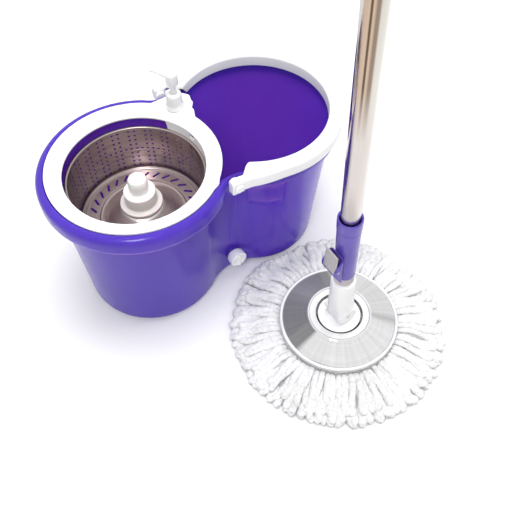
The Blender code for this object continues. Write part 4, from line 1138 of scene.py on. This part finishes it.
def lever():
    shape = [(-0.0058, -0.0030), (-0.0041, 0.0140), (-0.0024, 0.0306), (0.0002, 0.0303), (-0.0012, 0.0060),
             (0.0, 0.0020), (-0.0010, -0.0036)]
    bm = bmesh.new()
    rows = []
    for side in (-1, 1):
        rows.append([bm.verts.new((x, side * 0.0111, s)) for x, s in shape])
    bm.faces.new(rows[0])
    bm.faces.new(rows[1])
    for i in range(len(shape)):
        j = (i + 1) % len(shape)
        bm.faces.new((rows[0][i], rows[0][j], rows[1][j], rows[1][i]))
    bmesh.ops.recalc_face_normals(bm, faces=bm.faces)
    bmesh.ops.bevel(bm, geom=bm.edges[:], offset=0.0004, segments=2, affect="EDGES", profile=0.5)
    paddle = bpy.data.meshes.new("paddle")
    bm.to_mesh(paddle)
    bm.free()
    barrel = cylinder("barrel", 0.0042, (0, -0.0112, 0), (0, 0.0112, 0), 40)
    mesh = carved(barrel, [paddle], "UNION")
    mesh = carved(mesh, [cylinder("hole", 0.0023, (0, -0.03, 0), (0, 0.03, 0), 24)])
    mesh.transform(Matrix.Translation((LEVER[0], 0.0, LEVER[1])))
    keep("lock_lever_detail", mesh, lever_look, "lever", ["lock_lever"], YOKE, LEAN, sharp=30)


lever()


def tube(name, outer, wall, low, high, look, body, node, sides=96):
    profile = [(outer - wall, high), (outer, high), (outer, low), (outer - wall, low)]
    lathe(name, profile, look, body, [node], YOKE, LEAN, soft=0.0003, sides=sides, steps=2)


tube("outer_tube_detail", 0.0125, 0.0013, 0.1200, 1.0500, tube_look, "pole_top", "outer_tube")
tube("inner_tube_detail", 0.0095, 0.0010, 0.0455, 0.5600, tube_look, "pole_foot", "inner_tube")


def grip():
    steps = 120
    sides = 96
    low, high = 0.9300, 1.0500
    skin_r = 0.0129
    rings = []
    for i in range(steps + 1):
        t = i / steps
        wave = 0.0166 - 0.0004 * cos(2 * pi * 4 * t)
        close = min(1.0, sqrt(min(t, 1 - t) / 0.012) * 0.8 + 0.2)
        rib = RIDGE * (i // 3 % 2) if 0.08 < t < 0.92 else 0.0
        rings.append(circle(skin_r + (wave + rib - skin_r) * close, high - 0.1200 * t, sides))
    inner = [circle(0.0128, s, sides) for s in (low, high)]
    mesh = grid_mesh("grip", rings + inner, closed_rows=True)
    keep("grip_detail", mesh, grip_look, "pole_top", ["grip"], YOKE, LEAN, sharp=50)
    low = high + 0.0003
    cap = [(0.0, 1.1000), (0.0040, 1.0996), (0.0080, 1.0978), (0.0112, 1.0935), (0.0130, 1.0880),
           (0.0142, 1.0800), (0.0156, 1.0700), (0.0165, low + 0.0060), (0.0165, low), (0.0, low)]
    mesh = lathe_mesh("cap", cap, closed=False, soft=0.0010, sides=96)
    eye = cylinder("eye", 0.0050, (0, -0.03, 1.0840), (0, 0.03, 1.0840), 48)
    mesh = carved(mesh, [eye])
    keep("end_cap_detail", mesh, cap_look, "pole_top", ["end_cap"], YOKE, LEAN, sharp=35)


grip()


# ---------------------------------------------------------------- pump spring
def pump_spring():
    """The return spring between its seat and the stem, drawn at rest; the real one shortens as the pump is
    pressed.
    """
    seat = 0.2085
    length = 0.0145
    wire = 0.0006
    coils = 4
    steps = 32
    rings = []
    for i in range(coils * steps + 1):
        turn = 2 * pi * i / steps
        z = seat + length * i / (coils * steps)
        ring = []
        for j in range(10):
            a = 2 * pi * j / 10
            r = 0.0038 + wire * cos(a)
            ring.append((r * cos(turn), r * sin(turn), z + wire * sin(a)))
        rings.append(ring)
    mesh = grid_mesh("spring", rings, caps=True)
    made = keep("pump_spring_detail", mesh, steel_look, "bucket", ["pump_spring"], PUMP)
    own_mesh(made)


pump_spring()


# ---------------------------------------------------------------- nodes that keep their CAD shape
kept = {
    "spindle_post": natural_look, "spindle": steel_look, "spindle_collar": steel_look,
    "soap_bottle": natural_look, "pump_barrel": natural_look, "dip_tube": natural_look,
    "drain_bush": cap_look, "drain_nut": cap_look, "bush_seal": rubber_look, "hub_clamp": cap_look,
    "bush_lower": natural_look, "bush_upper": natural_look, "pump_stem": cap_look,
    "pump_piston": natural_look, "plug_seal": rubber_look, "strand_ring": cap_look,
    "yoke_pin": steel_look, "lever_pin": steel_look, "clutch_housing": natural_look,
    "drive_nut": brass_look, "guide_bush": natural_look, "twist_rod": steel_look,
    "rod_plug": natural_look,
}
for name, look in kept.items():
    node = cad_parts[name]
    for entry in node.material_slots:
        entry.material = look.made


# ---------------------------------------------------------------- stage, light and camera
def stage():
    look = Look("floor", 0.7)
    speck = look.noise(look.mapped(), 3.0, 3.0)
    look.colour(look.ramp(speck, [(0.3, grey(0.80)), (0.7, grey(0.84))]))
    mesh = bar("floor", (-6, -6, -0.02), (6, 6, -0.0002))
    floor = bpy.data.objects.new("floor", mesh)
    scene.collection.objects.link(floor)
    mesh.materials.append(look.made)


stage()


def studio():
    """A pale studio: an upright gradient gives the light, and a plain tone is what is seen and mirrored."""
    world = bpy.data.worlds.new("studio")
    scene.world = world
    world.use_nodes = True
    tree = world.node_tree

    def node(kind, *sources):
        made = tree.nodes.new("ShaderNode" + kind)
        for socket, source in zip(made.inputs, sources):
            tree.links.new(source, socket)
        return made

    coords = node("TexCoord").outputs["Generated"]
    band = node("ValToRGB", node("SeparateXYZ", coords).outputs["Z"])
    low, high = band.color_ramp.elements
    low.position, low.color = 0.05, (0.46, 0.46, 0.465, 1.0)
    high.position, high.color = 0.75, (1.0, 1.0, 1.0, 1.0)
    light = tree.nodes["Background"]
    light.inputs["Strength"].default_value = 0.75
    tree.links.new(band.outputs["Color"], light.inputs["Color"])
    plain = node("Background")
    plain.inputs["Color"].default_value = (0.97, 0.97, 0.97, 1.0)
    ray = node("LightPath").outputs
    seen = node("Math", ray["Is Camera Ray"], ray["Is Glossy Ray"])
    seen.operation = "MAXIMUM"
    either = node("MixShader", seen.outputs["Value"], light.outputs["Background"], plain.outputs["Background"])
    tree.links.new(either.outputs["Shader"], tree.nodes["World Output"].inputs["Surface"])


studio()


def area(name, place, target, size, power, glossy=True):
    """A square lamp that faces a point; one that isn't glossy is left out of reflections."""
    lamp = bpy.data.lights.new(name, "AREA")
    lamp.shape = "RECTANGLE"
    lamp.size = lamp.size_y = size
    lamp.energy = power
    made = bpy.data.objects.new(name, lamp)
    scene.collection.objects.link(made)
    made.location = place
    made.rotation_euler = (Vector(target) - Vector(place)).to_track_quat("-Z", "Y").to_euler()
    made.visible_glossy = glossy


area("key", (-0.9, -1.1, 1.9), (0.0, -0.1, 0.1), 0.55, 18)
area("fill", (1.5, -0.6, 1.6), (0.05, -0.1, 0.1), 1.0, 9, glossy=False)
area("top", (0.1, 0.1, 2.3), (0.05, 0.0, 0.0), 1.2, 36, glossy=False)

camera = bpy.data.cameras.new("camera")
camera.sensor_width = 36
camera.lens = 46.136
camera.clip_start = 0.01
eye = bpy.data.objects.new("camera", camera)
scene.collection.objects.link(eye)
pitch = radians(54.74)
heading = radians(33.06)
forward = Vector((sin(heading) * cos(pitch), cos(heading) * cos(pitch), -sin(pitch)))
right = Vector((cos(heading), -sin(heading), 0.0))
turn = Matrix((right, right.cross(forward), -forward)).transposed() @ Matrix.Rotation(radians(-0.35), 3, "Z")
eye.matrix_world = Matrix.Translation((-0.289, -0.593, 0.877)) @ turn.to_4x4()
scene.camera = eye
